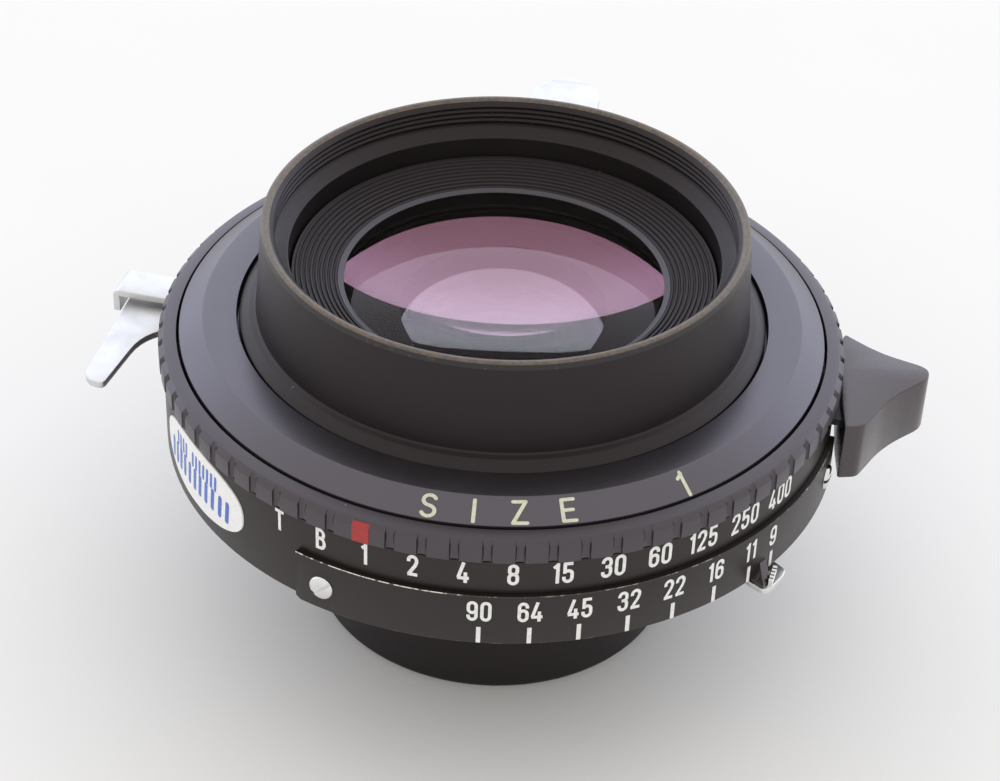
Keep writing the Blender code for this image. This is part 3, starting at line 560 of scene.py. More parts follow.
def ribbon(bm, points, width, put, round_ends):
    """A stroke of even width along a line of flat points; put places a flat point on the surface."""
    closed = points[0] == points[-1]
    line = [Vector(p) for p in (points[:-1] if closed else points)]
    count = len(line)
    sides = []
    for i, here in enumerate(line):
        steps = []
        if closed or i > 0:
            steps.append((here - line[i - 1]).normalized())
        if closed or i < count - 1:
            steps.append((line[(i + 1) % count] - here).normalized())
        along = (steps[0] + steps[-1]).normalized()
        normal = Vector((-along.y, along.x)) * width / 2 / max(0.7, along.dot(steps[0]))
        sides.append([bm.verts.new(put(*(here + normal))), bm.verts.new(put(*(here - normal)))])
    for a, b in zip(sides, sides[1:] + (sides[:1] if closed else [])):
        bm.faces.new((a[0], a[1], b[1], b[0]))
    if round_ends and not closed:
        for end, inner in ((line[0], line[1]), (line[-1], line[-2])):
            out = math.degrees(math.atan2(end.y - inner.y, end.x - inner.x))
            cap = bow(end.x, end.y, width / 2, width / 2, out - 90, out + 90, 8)
            bm.faces.new([bm.verts.new(put(*p)) for p in cap])


def marks(name, items, mapping, height, stroke, material, round_ends=False, narrow=0.88):
    """A row of signs laid on a curved surface of the housing as one piece."""
    bm = bmesh.new()
    for text, angle in items:
        total = sum(SIGNS[c][0] for c in text) + SIGN_GAP * (len(text) - 1)
        start = -total / 2
        for c in text:
            width, strokes = SIGNS[c]
            for points in strokes:
                ribbon(bm, points, stroke,
                       lambda x, y: mapping(angle, (start + x) * height * narrow, y * height, INK_LIFT),
                       round_ends)
            start += width + SIGN_GAP
    return finish_piece(name, bm, "housing", material, angle=30.0)


def on_cylinder(radius, base):
    """A mapping of flat letters onto an upright cylinder."""
    def place(angle, x, y, depth):
        px, py = polar(radius + depth, angle + math.degrees(x / radius))
        return at(px, py, base + y)
    return place


def on_cone(r_top, z_top, r_foot, z_foot, start):
    """A mapping of flat letters onto a cone, their feet towards its rim."""
    slope = math.hypot(r_foot - r_top, z_top - z_foot)
    down = Vector((r_foot - r_top, z_foot - z_top)) / slope
    out = Vector((-down.y, down.x))
    middle = (r_top + r_foot) / 2

    def place(angle, x, y, depth):
        p = Vector((r_top, z_top)) + down * (slope - start - y) + out * depth
        px, py = polar(p.x, angle + math.degrees(x / middle))
        return at(px, py, p.y)
    return place


# ---------------- pieces

def front_barrel(black, rim_wear, edge_wear):
    """Front barrel with its filter thread, stepped bore and stepped collar."""
    thread = []
    for k in range(THREAD_TURNS):
        z = RIM_TOP - 0.5 - THREAD_PITCH * k
        thread += [(THREAD_ROOT, z, 0.02), (THREAD_CREST, z - 0.2, 0.02), (THREAD_CREST, z - 0.35, 0.02),
                   (THREAD_ROOT, z - 0.5, 0.02)]
    rim_foot = RIM_TOP - 0.85
    outside = [
        (25.5, RIM_TOP - 0.1, 0.12), (25.62, rim_foot, 0.15), (26.3, 37.62, 0.1), (26.45, 37.5, 0.08),
        (27.0, 37.32, 0.06), (28.1, PLATE_TOP - 0.25, 0.1), (28.1, 35.4), (19.85, 35.4), (19.85, BARREL_FOOT),
    ]
    bore = [
        (16.0, BARREL_FOOT), (16.0, 30.3), (18.5, 30.3), (18.5, FRONT_GLASS_TOP), (22.75, FRONT_GLASS_TOP),
        (22.75, 44.1), (22.95, 44.2, 0.05), (23.95, 45.0, 0.15),
    ]
    rim = [(24.62, RIM_TOP - 0.3, 0.06), (24.95, RIM_TOP, 0.12), (25.3, RIM_TOP, 0.1)]
    profile = outside + bore + list(reversed(thread)) + rim

    def paint(r, z):
        if z > RIM_TOP - 0.25:
            return 1
        return 2 if r > 25.3 and z > rim_foot else 0
    lathe("front_barrel_skin", profile, [black, rim_wear, edge_wear], "front_barrel", 0.1, paint)


def baffle_ring(black, lip_highlight):
    """Ridged ring round the front glass that stops stray light; its inner lip is a lighter, bluish black, a
    painted highlight.
    """
    ridges, height = 9, 0.2
    outer, inner = Vector((22.3, 41.8)), Vector((17.62, 40.52))
    profile = [
        (BAFFLE_RADIUS, 41.9, 0.02), (BAFFLE_RADIUS, BAFFLE_FOOT), (17.0, BAFFLE_FOOT),
        (17.0, inner.y, 0.03), (inner.x, inner.y + height, 0.0),
    ]
    for k in range(ridges):
        for share, lift in ((0.0, 0.0), (0.12, height), (0.55, height), (0.68, 0.0)):
            p = inner.lerp(outer, (k + share) / ridges)
            profile.append((p.x, p.y + lift, 0.03))
    # The inner lip's faces take the second material, a painted highlight along that edge.
    lathe("baffle_ring_skin", profile, [black, lip_highlight], "front_baffle_ring", 0.03,
          lambda r, z: 1 if r < 17.61 and z > 40.45 else 0)


def sag(radius, edge, apex, count=14):
    """Profile of a spherical surface from its edge to the axis."""
    height = apex - edge
    ball = (radius ** 2 + height ** 2) / (2 * abs(height))
    sign = 1 if height > 0 else -1
    points = []
    for i in range(count + 1):
        r = radius * (1 - i / count)
        points.append((r, edge + sign * (math.sqrt(ball ** 2 - r ** 2) - (ball - abs(height)))))
    return points


def lens(name, radius, top_edge, top_apex, foot_edge, foot_apex, coats, node):
    """A polished element with true spherical faces; the upper face carries the first coating."""
    profile = list(reversed(sag(radius, top_edge, top_apex))) + sag(radius, foot_edge, foot_apex)
    bm = lathe_mesh(profile, 128)
    for face in bm.faces:
        face.normal_update()
        face.material_index = 0 if face.normal.z > 0.2 else 1
    return finish_piece(name, bm, "housing", coats, [node], 30.0)


def glass_elements():
    """Two cells of two coated elements each."""
    clear = coated_glass("glass_front", (0.08, 0.02, 0.05), 1.5)
    mauve = coated_glass("glass_back", (4.9, 2.4, 3.5), 1.5)
    inner = coated_glass("glass_inner", (1.35, 0.9, 1.2), 2.2)
    faint = coated_glass("glass_inner_back", (0.3, 0.2, 0.25), 1.6)
    lens("front_glass", FRONT_GLASS_RADIUS, 38.2, FRONT_GLASS_TOP, 36.4, foot("front_outer_element"),
         [clear, mauve], "front_outer_element")
    lens("front_glass_inner", FRONT_GLASS_RADIUS, top("front_inner_element"), 32.5,
         foot("front_inner_element"), 31.6, [inner, faint], "front_inner_element")
    lens("rear_glass", REAR_GLASS_RADIUS, 5.0, top("rear_outer_element"), 3.2, foot("rear_outer_element"),
         [clear, mauve], "rear_outer_element")
    lens("rear_glass_inner", REAR_GLASS_RADIUS, top("rear_inner_element"), 20.4,
         foot("rear_inner_element"), 19.4, [inner, inner], "rear_inner_element")


def front_spacer(black):
    """Spacer between the front elements, with the thin stop that masks the inner one."""
    outer, bore, half = FRONT_GLASS_RADIUS - 0.05, 16.9, 0.15
    lower, upper = foot("front_spacer_ring"), 36.1
    lathe("front_spacer_skin", [
        (outer, upper, 0.1), (outer, lower, 0.1), (bore, lower, 0.1), (bore, STOP_Z - half, 0.05),
        (STOP_RADIUS + 0.2, STOP_Z - half, 0.05), (STOP_RADIUS, STOP_Z, 0.05),
        (STOP_RADIUS + 0.2, STOP_Z + half, 0.05), (bore + 0.2, STOP_Z + half, 0.1), (bore + 0.5, upper, 0.1),
    ], black, "front_spacer_ring", 0.05)


def cover_plate(black):
    """Cover with its flat, its sloped rim and the recess the front cell sits in."""
    inside, recess, recess_floor, underside = 33.5, 28.35, 35.1, 34.2
    lathe("cover_skin", [
        (PLATE_RADIUS, PLATE_TOP, 0.1), (CONE_RADIUS, CONE_FOOT, 0.08), (CONE_RADIUS, PLATE_FOOT),
        (inside, PLATE_FOOT), (inside, underside), (20.3, underside), (20.3, recess_floor),
        (recess, recess_floor), (recess, PLATE_TOP, 0.08),
    ], black, "front_cover", 0.05)


def notch_depth(angle):
    """How deep the speed ring is cut at an angle: round-cornered milled notches."""
    offset = (angle - NOTCH_FIRST + NOTCH_PITCH / 2) % NOTCH_PITCH - NOTCH_PITCH / 2
    share = min(1.0, abs(offset) / NOTCH_HALF_WIDTH)
    return NOTCH_DEPTH * (1 - share ** 4) ** 0.5


def speed_ring(black):
    """Speed ring with milled finger notches round its side."""
    profile = rounded([
        (34.78, RING_TOP - 0.02, 0.1), (36.15, RING_TOP - 0.25, 0.08),
        (RING_RADIUS - 0.02, RING_TOP - 0.84, 0.05), (RING_RADIUS, RING_FOOT, 0.1), (34.8, RING_FOOT, 0.05),
    ], 0.06)
    edge = NOTCH_HALF_WIDTH
    shares = (-1.0, -0.97, -0.85, -0.55, 0.0, 0.55, 0.85, 0.97, 1.0)
    offsets = [-NOTCH_PITCH / 2, -edge - 0.05] + [edge * share for share in shares] + [edge + 0.05]
    bm = bmesh.new()
    columns = []
    for k in range(round(360 / NOTCH_PITCH)):
        for offset in offsets:
            angle = NOTCH_FIRST + NOTCH_PITCH * k + offset
            limit = RING_RADIUS - notch_depth(angle)
            columns.append([bm.verts.new(at(*polar(min(r, limit), angle), z)) for r, z in profile])
    skin(bm, columns, close_rows=True)
    finish_piece("speed_ring_skin", bm, "speed_control", black, ["speed_ring"])


def curved_bar(name, outline, start, end, body, material, steps=6):
    """A curved bar about the optical axis; its section is given as (radius, height) points."""
    bm = bmesh.new()
    curved_rows(bm, outline, start, end, steps)
    return finish_piece(name, bm, body, material)


def curved_rows(bm, outline, start, end, steps):
    """Sweep an outline of (radius, height) points about the optical axis and cap it."""
    rows = []
    for i in range(steps + 1):
        angle = start + (end - start) * i / steps
        rows.append([bm.verts.new(at(*polar(r, angle), z)) for r, z in outline])
    skin(bm, rows)


def speed_index(red):
    """Red index filling one notch of the speed ring."""
    lower, inner, outer = RING_FOOT + 0.04, 36.2, RING_RADIUS + 0.03
    outline = [(inner, lower), (outer, lower), (outer, RING_TOP - 0.82), (36.42, RING_TOP - 0.5),
               (inner, RING_TOP - 0.5)]
    curved_bar("speed_index_mark", outline, -111.95, -109.15, "speed_control", red)


def apply_cuts(obj, cutters):
    """Cut shapes out of an object for good and sharpen the new edges."""
    for tool in cutters:
        modifier = obj.modifiers.new("cut", "BOOLEAN")
        modifier.solver = "EXACT"
        modifier.object = tool
    mesh = lasting_mesh(obj)
    obj.modifiers.clear()
    obj.data = mesh
    mesh.set_sharp_from_angle(angle=math.radians(35))
    for tool in cutters:
        bpy.data.objects.remove(tool, do_unlink=True)


def cutting_band(inner, outer, z_low, z_high, span):
    """A curved bar used as a cutter."""
    bm = bmesh.new()
    curved_rows(bm, ((inner, z_low), (outer, z_low), (outer, z_high), (inner, z_high)), *span, 24)
    return cutter(bm)


def cutting_rod(start, end, radius):
    """A round hole's cutter."""
    start, end = at(*start), at(*end)
    bm = bmesh.new()
    turn = (end - start).to_track_quat("Z", "Y").to_matrix().to_4x4()
    bmesh.ops.create_cone(bm, cap_ends=True, segments=32, radius1=radius * MM, radius2=radius * MM,
                          depth=(end - start).length, matrix=Matrix.Translation((start + end) / 2) @ turn)
    return cutter(bm)


def cutter(bm):
    """An object that is only used to cut another."""
    return in_scene("cutter", closed_mesh("cutter", bm))


def shutter_case(black):
    """Case with the lens board's seat, its mounting tube and the slots of its levers."""
    lower_bore, upper_bore, lip_bore = 34.15, 34.75, 35.25
    floor = 22.95
    case = lathe("case_skin", [
        (CASE_RADIUS, CASE_TOP, 0.1), (CASE_RADIUS, SCALE_FOOT, 0.25), (SEAT_RADIUS, SCALE_FOOT, 0.1),
        (SEAT_RADIUS, SEAT_Z, 0.15), (TUBE_RADIUS, SEAT_Z), (TUBE_RADIUS, TUBE_FOOT, 0.2),
        (TUBE_BORE, TUBE_FOOT), (TUBE_BORE, floor), (lower_bore, floor), (lower_bore, 25.8),
        (upper_bore, 25.8), (upper_bore, LEVER_TOP), (lip_bore, LEVER_TOP), (lip_bore, CASE_TOP),
    ], black, "shutter_case", 0.06)
    cutters = [cutting_band(33.0, 38.0, SLOT_FOOT, SLOT_TOP, span)
               for span in (COCKING_SLOT, PRESS_SLOT, RELEASE_SLOT)]
    cutters.append(cutting_band(31.0, 33.0, SEAT_Z + 0.15, floor + 1.05, POINTER_SLOT))
    apply_cuts(case, cutters)


def scale_plate(black, wear, thin_wear):
    """Curved aperture scale plate with clipped corners, and edges rubbed bright in places."""
    start, end = SCALE_SPAN
    inner, outer, bevel = CASE_RADIUS + 0.05, SCALE_RADIUS, 0.07
    clip = 0.35
    bm = bmesh.new()
    rows = []
    steps = 135
    for i in range(steps + 1):
        angle = start + (end - start) * i / steps
        from_end = min(angle - start, end - angle) * math.radians(outer)
        z0, z1 = SCALE_FOOT + max(0.0, clip - from_end), SCALE_TOP
        outline = [(inner, z0), (outer - 0.03, z0), (outer, z0 + 0.06), (outer, z1 - bevel),
                   (outer - bevel, z1), (inner, z1)]
        rows.append([bm.verts.new(at(*polar(r, angle), z)) for r, z in outline])
    skin(bm, rows)
    for face in bm.faces:
        middle = face.calc_center_median() - AXIS
        angle = math.degrees(math.atan2(middle.y, middle.x))
        z = middle.z / MM
        out = math.hypot(middle.x, middle.y) / MM
        if len(face.verts) == 4 and z > SCALE_TOP - 0.06 and out > outer - 0.08:
            face.material_index = 1 if angle < -95 else 2
        elif len(face.verts) != 4 or z < SCALE_FOOT + 0.05:
            face.material_index = 2
    plate = finish_piece("scale_plate_skin", bm, "housing", [black, wear, thin_wear],
                         ["aperture_scale_plate"])
    holes = []
    for angle in SCREW_ANGLES:
        holes.append(cutting_rod((*polar(35.0, angle), SCREW_Z), (*polar(38.0, angle), SCREW_Z), 0.9))
    apply_cuts(plate, holes)


def facing_out(radius, angle, z):
    """The placing of a shape that points outwards from the side of the case."""
    turn = Matrix.Rotation(math.radians(angle), 4, "Z") @ Matrix.Rotation(math.radians(90), 4, "Y")
    return Matrix.Translation(at(*polar(radius, angle), z)) @ turn


def screw(name, angle, slot_turn, material, node):
    """Slotted pan-head screw on the side of the case."""
    profile = [(0.0, 0.38), (0.6, 0.365), (0.95, 0.32), (1.18, 0.24), (1.3, 0.12), (1.35, -0.05),
               (1.33, -0.1), (0.6, -0.1), (0.6, -2.0), (0.0, -2.0)]
    bm = bmesh.new()
    rings = []
    for r, h in profile:
        points = [(0.0, 0.0)] if r == 0 else circle(r, 32)
        rings.append([bm.verts.new((x * MM, y * MM, h * MM)) for x, y in points])
    for a, b in zip(rings, rings[1:]):
        bridge(bm, a, b)
    placing = facing_out(SCREW_RADIUS, angle, SCREW_Z)
    bmesh.ops.transform(bm, matrix=placing, verts=bm.verts)
    turn = Matrix.Rotation(math.radians(slot_turn), 4, "Z")
    block = Matrix.Translation((0, 0, 0.42 * MM)) @ Matrix.Diagonal((4 * MM, 0.36 * MM, 0.9 * MM, 1.0))
    slot_tool = bmesh.new()
    bmesh.ops.create_cube(slot_tool, size=1.0, matrix=placing @ turn @ block)
    head = finish_piece(name, bm, "housing", material, [node])
    apply_cuts(head, [cutter(slot_tool)])


def oval_sticker(white, blue):
    """White oval sticker with two plain rows of blue strokes."""
    radius = CASE_RADIUS + 0.05
    half_width = radius * math.radians(STICKER_HALF_ANGLE)
    points, squareness = 96, 0.82
    lift_face = 0.12

    def place(x, y, lift):
        return at(*polar(radius + lift, STICKER_ANGLE + math.degrees(x / radius)), STICKER_Z + y)

    def oval(grow, share=1.0):
        outline = []
        for x, y in circle(1.0, points):
            outline.append((math.copysign(abs(x) ** squareness, x) * (half_width + grow) * share,
                            math.copysign(abs(y) ** squareness, y) * (STICKER_HALF_HEIGHT + grow) * share))
        return outline
    bm = bmesh.new()
    shells = []
    side = ((-0.1, 0.0, 1.0), (0.09, 0.0, 1.0))
    face = tuple((lift_face, -0.04, share) for share in (1.0, 0.8, 0.55, 0.3, 0.1))
    for lift, grow, share in side + face:
        shells.append([bm.verts.new(place(x, y, lift)) for x, y in oval(grow, share)])
    skin(bm, shells)
    finish_piece("oval_sticker", bm, "housing", white, ["oval_label"])
    bars = bmesh.new()
    rows = ((-0.75, 1.15, 0.6, (-6.6, -5.3, -4.1, -2.9, -1.6, -0.3, 0.9, 2.2, 3.5, 4.9, 6.2)),
            (1.65, 0.8, 0.4, (-4.7, -3.9, -3.1, -2.3, -0.6, 0.2, 1.0, 1.8, 2.6, 3.4, 4.2)))
    for height, half, width, places in rows:
        for x in places:
            ribbon(bars, [(x - 0.1 * half, height - half), (x + 0.1 * half, height + half)], width,
                   lambda u, v: place(u, v, lift_face + 0.015), True)
    finish_piece("sticker_strokes", bars, "housing", blue)


def cocking_grip(plastic):
    """Moulded grip of the cocking lever with eased edges."""
    corners = [
        (36.25, -11.1, 0.3), (38.3, -10.85, 0.6), (39.3, -9.3, 0.9), (40.9, -6.7, 1.2), (42.9, -4.5, 1.2),
        (45.8, -2.15, 0.8), (46.35, -1.0, 0.8), (46.3, 0.0, 0.8), (45.5, 0.7, 0.7), (42.1, 2.3, 2.0),
        (40.0, 3.9, 2.0), (37.8, 6.0, 0.5), (36.7, 3.4, 0.8), (36.7, -1.5, 0.8), (36.3, -6.5, 0.8),
    ]
    lower = foot("cocking_grip")
    cut_plate("cocking_grip_skin", [rounded(corners, 0.5, 5)], lower, top("cocking_grip") - lower, "cocking",
              plastic, ["cocking_grip"], 0.2)


def release_lever(plate):
    """Flat release lever with the hole of its pin."""
    pin = Vector(middle_of("release_lever_pin"))
    around = [(*(pin + Vector(step)), 2.0) for step in ((2.0, -2.6), (2.8, 2.4))]
    corners = [
        (*(pin + Vector((-1.8, 3.3))), 2.0), (-41.35, 8.55, 0.9), (-44.25, -6.1, 0.9), (-43.6, -7.5, 0.8),
        (-42.0, -8.1, 0.8), (-39.2, 0.8, 2.5), (-35.0, 3.2, 2.0),
    ] + around
    cut_plate("release_lever_skin", [rounded(corners, 1.0, 5), circle(1.15, 32, pin)], LEVER_FOOT, SHEET,
              "release", plate, ["release_lever"])


def cable_bracket(plate):
    """Bracket bent down over the release lever."""
    half, radius, bend_start = 2.1, 0.85, 42.95
    bend = []
    for k in range(7):
        a = math.radians(90 * k / 6)
        bend.append((bend_start + radius * math.sin(a), BRACKET_TOP - radius * (1 - math.cos(a)), half))
    flat = [(36.65, BRACKET_TOP, half), (39.5, BRACKET_TOP, half)]
    bent_strip("cable_bracket_skin", flat + bend + [(bend_start + radius, BRACKET_FOOT, half)], SHEET, 167.5,
               "housing", plate, ["cable_release_bracket"])


def press_focus_lever(plate):
    """Cranked press-focus lever with a rounded finger end."""
    half = 4.15
    shank = [(26.5, 0.5), (26.8, 1.5), (27.6, 2.2), (29.0, 2.6), (38.2, 2.95)]
    crank = [(distance, LEVER_TOP, width) for distance, width in shank]
    crank += [(38.9, 30.43, 3.0), (39.5, 30.6, 3.05), (40.1, 31.1, 3.15), (42.2, 34.15, 3.85),
              (42.7, 34.65, 3.95), (43.3, 34.93, 4.05), (44.2, PRESS_TOP, half)]
    bent_strip("press_focus_skin", crank + round_end(53.2, PRESS_TOP, half), SHEET, 82.2, "press_focus",
               plate, ["press_focus_lever"])


def aperture_lever(plate):
    """Bright foot of the aperture lever, seen below the scale."""
    corners = [
        (23.5, -21.9, 0.5), (26.3, -25.5, 0.3), (27.75, -26.8, 0.3), (28.5, -26.4, 0.5), (30.05, -24.2, 0.4),
        (30.2, -23.3, 0.5), (29.3, -22.3, 0.3), (26.1, -19.2, 0.5),
    ]
    cut_plate("aperture_lever_skin", [rounded(corners, 0.3, 4)], foot("aperture_lever"), 0.7,
              "aperture_control", plate, ["aperture_lever"])


def aperture_pointer(plastic, plate):
    """Black wedge that points to the scale, with a small milled edge beside it."""
    wedge_foot = [(26.55, -25.5), (27.72, -26.6), (28.45, -25.4), (27.8, -23.9)]
    crest = [(27.1, -24.75), (27.3, -24.85), (28.0, -24.0), (27.85, -23.9)]
    sections = ((wedge_foot, 21.72), (wedge_foot, SCALE_FOOT), (crest, top("aperture_pointer")))
    bm = bmesh.new()
    skin(bm, [[bm.verts.new(at(x, y, z)) for x, y in points] for points, z in sections])
    finish_piece("aperture_pointer_skin", bm, "aperture_control", plastic, ["aperture_pointer"], 25.0)
    bm = bmesh.new()
    near, far = Vector((28.25, -26.0)), Vector((28.95, -23.4))
    side = Vector((far.y - near.y, near.x - far.x)).normalized() * 0.42
    steps, lower = 20, 21.65
    rows = []
    for i in range(steps + 1):
        p = near.lerp(far, i / steps)
        upper = 22.35 + (0.16 if i % 4 in (1, 2) else 0.0)
        outline = [(p, lower), (p + side, lower), (p + side, upper), (p, upper)]
        rows.append([bm.verts.new(at(q.x, q.y, z)) for q, z in outline])
    skin(bm, rows)
    finish_piece("aperture_milled_edge", bm, "aperture_control", plate, angle=20.0)


def rear_barrel(black, edge_wear):
    """Rear barrel with its foot rim and the ring that holds the rear glass."""
    neck, shoulder, rear_bore = 17.85, 15.1, REAR_GLASS_RADIUS + 0.3
    lathe("rear_barrel_skin", [
        (neck, REAR_TOP), (neck, shoulder), (REAR_RADIUS, shoulder, 0.15), (REAR_RADIUS, 14.3), (19.9, 14.2),
        (19.9, 13.9), (REAR_RADIUS, 13.8), (REAR_RADIUS, 0.45, 0.35), (REAR_RADIUS - 0.45, 0.0, 0.2),
        (18.0, 0.0, 0.15), (18.0, 2.9), (rear_bore, 2.9), (rear_bore, 21.9), (14.4, 21.9), (14.4, REAR_TOP),
    ], [black, edge_wear], "rear_barrel", 0.06, lambda r, z: 1 if z < 0.05 else 0)


def sync_terminal(plate, insulator):
    """Coaxial flash socket: bright sleeve, dark insulator, bright centre."""
    placing = facing_out(CASE_RADIUS + 0.35, 124.0, 26.2) @ Matrix.Translation(-AXIS)
    parts = [
        ("sync_sleeve", [(3.2, 0.0), (3.2, 0.7, 0.1), (2.6, 0.9), (2.6, 4.1, 0.15), (2.3, 4.4, 0.1),
                         (1.9, 4.4), (1.9, 0.0)], plate, ["flash_sync_terminal"]),
        ("sync_insulator", [(1.85, 0.0), (1.85, 3.2, 0.1), (0.75, 3.2, 0.1), (0.75, 0.0)], insulator, []),
        ("sync_pin", [(0.7, 0.0), (0.7, 3.9, 0.2), (0.3, 4.0, 0.1), (0.3, 0.0)], plate, []),
    ]
    for name, profile, material, replaced in parts:
        bm = lathe_mesh(rounded(list(reversed(profile)), 0.05), 48)
        bmesh.ops.transform(bm, matrix=placing, verts=bm.verts)
        finish_piece(name, bm, "housing", material, replaced)


def board_ring(black):
    """Clamping ring with a milled edge."""
    outer, bore = reach("lens_board_ring"), 19.95
    upper, lower = top("lens_board_ring"), foot("lens_board_ring")
    profile = rounded([(outer, upper, 0.15), (outer, lower + 0.6, 0.1), (22.8, lower, 0.1), (bore, lower),
                       (bore, upper)], 0.05)
    teeth, depth = 90, 0.25
    bm = bmesh.new()
    columns = []
    for i in range(teeth * 2):
        limit = outer if i % 2 else outer - depth
        columns.append([bm.verts.new(at(*polar(min(r, limit), 180 * i / teeth), z)) for r, z in profile])
    skin(bm, columns, close_rows=True)
    finish_piece("board_ring_skin", bm, "housing", black, ["lens_board_ring"])


def hidden_parts():
    """Finishes on the CAD nodes that are seen only through the glass and the slots."""
    steel = satin("plain_steel", (0.42, 0.42, 0.43), 0.34, metallic=1.0, dust=0.0, mottle=0.12)
    blued = satin("blackened_steel", (0.03, 0.03, 0.033), 0.42, metallic=0.6, dust=0.0)
    brass = satin("plain_brass", (0.6, 0.45, 0.2), 0.3, metallic=1.0, dust=0.0, mottle=0.12)
    matt = satin("matt_black_inside", (0.012, 0.012, 0.012), 0.6, dust=0.0)
    kinds = {
        "blade": blued, "mechanism_plate": blued, "spacer": matt, "retaining": matt, "ring": steel,
        "spring": steel, "pin": steel, "gear": brass, "escape": brass, "pallet": brass,
        "cocking_lever": blued,
    }
    for name, node in frame["nodes"].items():
        if node.hide_render:
            continue
        for key, material in kinds.items():
            if key in name:
                node.data.materials.clear()
                node.data.materials.append(material)
                break


# ---------------- scene

def lettering(white, cream):
    """Numbers of the two scales, ticks of the aperture scale, and the size on the sloped rim."""
    marks("speed_numbers", SPEED_MARKS, on_cylinder(CASE_RADIUS, 29.2), 2.6, 0.155, white)
    marks("aperture_numbers", APERTURE_MARKS, on_cylinder(SCALE_RADIUS, 24.95), 2.5, 0.155, white)
    marks("size_letters", SIZE_MARKS, on_cone(PLATE_RADIUS, PLATE_TOP, CONE_RADIUS, CONE_FOOT, 0.14),
          2.5, 0.14, cream, round_ends=True, narrow=1.1)
    inner, outer = SCALE_RADIUS - 0.07, SCALE_RADIUS + 0.04
    lower, upper, half_angle = SCALE_FOOT + 0.07, SCALE_FOOT + 2.1, 0.34
    outline = [(inner, lower), (outer, lower), (outer, upper), (inner, upper)]
    for text, angle in APERTURE_MARKS:
        curved_bar(f"aperture_tick_{text}", outline, angle - half_angle, angle + half_angle, "housing", white,
                   2)


def build_object():
    """Every piece of the lens with its finish."""
    barrel_black = satin("barrel_black", (0.0095, 0.0075, 0.008), 0.42, index=1.43)
    inner_black = satin("inner_black", (0.0115, 0.0092, 0.0105), 0.5, index=1.45)
    # Painted highlight: a lighter, bluish black for the baffle ring's inner lip, where its edge catches the
    # light.
    baffle_lip_painted_highlight = satin("baffle_lip_painted_highlight", (0.035, 0.036, 0.046), 0.4, dust=0.0)
    rim_wear = worn("rim_wear", (0.085, 0.074, 0.068), (0.17, 0.135, 0.105), 0.5, 0.5)
    edge_wear = worn("edge_wear", (0.012, 0.01, 0.01), (0.1, 0.085, 0.07), 0.1)
    front_barrel(barrel_black, rim_wear, edge_wear)
    baffle_ring(inner_black, baffle_lip_painted_highlight)

    glass_elements()
    front_spacer(satin("stop_black", (0.03, 0.022, 0.022), 0.7, grain=0.0, grain_size=2.5, mottle=0.08,
                       dust=0.0, index=1.25))

    plate_black = satin("plate_black", (0.0125, 0.0108, 0.0118), 0.36, grain=0.2, dust=0.03, index=2.0,
                        gloss_tint=(1.0, 0.94, 1.1))
    ring_black = satin("ring_black", (0.0145, 0.0128, 0.0124), 0.36, grain=0.15, index=1.78,
                       gloss_tint=(1.0, 0.9, 1.03))
    cover_plate(plate_black)
    speed_ring(ring_black)
    speed_index(print_ink("red_paint", (0.4, 0.028, 0.028)))

    case_black = satin("case_black", (0.0145, 0.012, 0.0105), 0.4, dust=0.01, index=1.46)
    plate_edge = worn("plate_edge_wear", (0.06, 0.055, 0.05), (0.75, 0.73, 0.68), 0.55, 1.4)
    thin_edge = worn("plate_edge_rubbed", (0.03, 0.027, 0.025), (0.3, 0.29, 0.27), 0.3, 1.6)
    bright = chrome("bright_chrome", (0.76, 0.76, 0.75), 0.16)
    shutter_case(case_black)
    scale_plate(case_black, plate_edge, thin_edge)
    screw("scale_screw_near", SCREW_ANGLES[0], -48.0, bright, "scale_screw_left")
    screw("scale_screw_far", SCREW_ANGLES[1], 80.0, bright, "scale_screw_right")
    oval_sticker(print_ink("sticker_white", (0.93, 0.93, 0.92), 0.28),
                 print_ink("sticker_blue", (0.045, 0.15, 0.62), 0.28))

    plastic = satin("grip_plastic", (0.0155, 0.014, 0.0145), 0.27, grain=0.15, grain_size=0.3, dust=0.0,
                    index=1.8)
    satin_bright = chrome("satin_chrome", (0.68, 0.68, 0.685), 0.45)
    cocking_grip(plastic)
    release_lever(satin_bright)
    cable_bracket(satin_bright)
    press_focus_lever(satin_bright)
    aperture_lever(bright)
    aperture_pointer(plastic, bright)

    rear_barrel(satin("rear_black", (0.0095, 0.0075, 0.008), 0.45, dust=0.01, index=1.43), edge_wear)
    sync_terminal(bright, plastic)
    board_ring(ring_black)
    lettering(print_ink("white_paint", (0.88, 0.88, 0.86)), print_ink("cream_paint", (0.69, 0.71, 0.54)))
    hidden_parts()


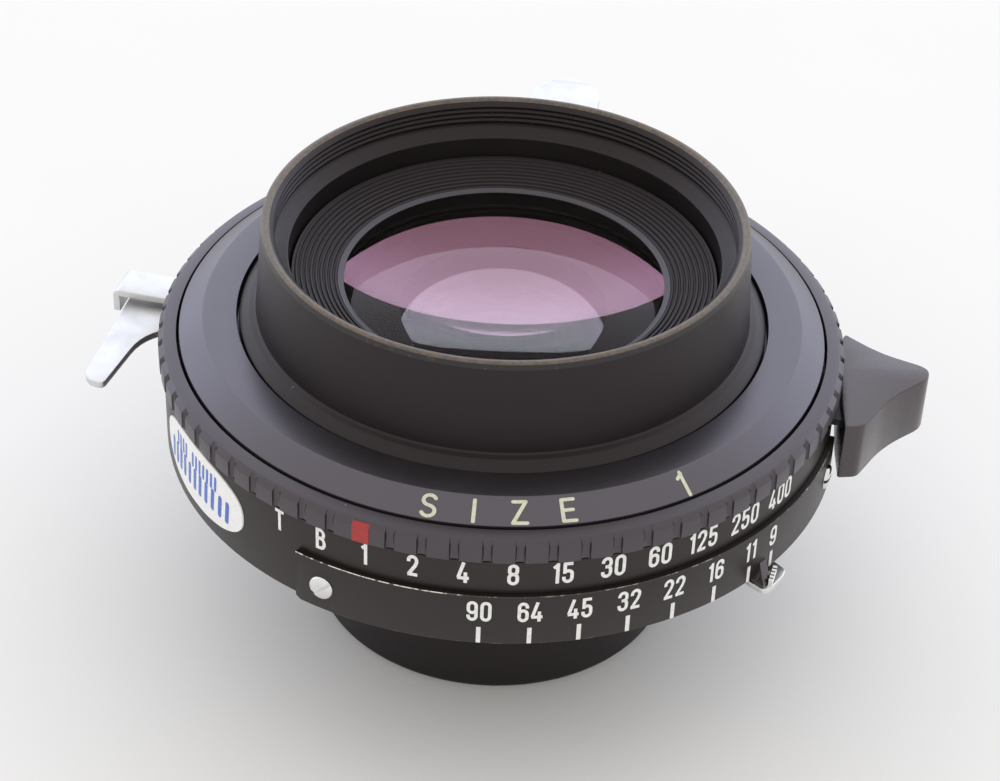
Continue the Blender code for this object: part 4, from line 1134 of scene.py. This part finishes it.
def surroundings():
    """Soft surroundings: an even wrap of light and a broad bright bank low down behind the object."""
    wrap_light, bank_light = (1.01, 0.98, 0.935), (1.7, 1.79, 2.03)
    world = bpy.data.worlds.new("studio")
    world.use_nodes = True
    tree = world.node_tree
    place = tree.nodes.new("ShaderNodeTexCoord")
    parts = tree.nodes.new("ShaderNodeSeparateXYZ")
    feed(tree, parts, {0: place.outputs["Generated"]})
    height = tree.nodes.new("ShaderNodeValToRGB")
    height.color_ramp.interpolation = "B_SPLINE"
    stops = ((0.0, 1.0), (0.42, 1.0), (0.55, 0.9), (0.68, 0.6), (0.77, 0.35), (0.85, 0.17), (0.97, 0.05))
    while len(height.color_ramp.elements) < len(stops):
        height.color_ramp.elements.new(0.5)
    for element, (position, level) in zip(height.color_ramp.elements, stops):
        element.position = position
        element.color = (level, level, level, 1.0)
    feed(tree, height, {0: parts.outputs["Z"]})
    width = spread(tree, parts.outputs["Y"], -0.05, 0.55, 0.0, 1.0, "SMOOTHSTEP")
    share = combine(tree, "MULTIPLY", height.outputs["Color"], width)
    feed(tree, tree.nodes["Background"], {"Color": blend(tree, share, wrap_light, bank_light)})
    return world


def paper_floor():
    """Pale paper that the lens stands on."""
    material, tree, shader = shader_tree("floor_paper")
    tone = noise(tree, 35.0, 3.0)
    base = blend(tree, tone, (0.84, 0.84, 0.835), (0.86, 0.86, 0.86))
    feed(tree, shader, {"Base Color": base, "Roughness": 0.9, "Specular IOR Level": 0.0})
    bm = bmesh.new()
    bmesh.ops.create_grid(bm, x_segments=1, y_segments=1, size=4.0)
    mesh = bpy.data.meshes.new("floor")
    bm.to_mesh(mesh)
    bm.free()
    mesh.materials.append(material)
    floor = in_scene("floor", mesh)


def camera():
    """Camera in front of the lens, looking down at it."""
    tilt, distance, roll = math.radians(40.809), 290.141, math.radians(2.419)
    target = at(0.053, 0, 25.665)
    data = bpy.data.cameras.new("camera")
    data.sensor_width = 36.0
    data.lens = 90.04
    data.clip_start = 0.01
    place = at(0, -distance * math.cos(tilt), distance * math.sin(tilt))
    ahead = (target - place).normalized()
    level = ahead.cross(Vector((0, 0, 1))).normalized()
    upright = level.cross(ahead)
    right = math.cos(roll) * level + math.sin(roll) * upright
    up = math.cos(roll) * upright - math.sin(roll) * level
    turn = Matrix((right, up, -ahead)).transposed().to_4x4()
    holder = in_scene("camera", data)
    holder.matrix_world = Matrix.Translation(place) @ turn
    bpy.context.scene.camera = holder


def studio():
    """Floor, surroundings and camera."""
    paper_floor()
    bpy.context.scene.world = surroundings()
    bpy.context.scene.view_settings.view_transform = "Standard"
    camera()


build_object()
studio()
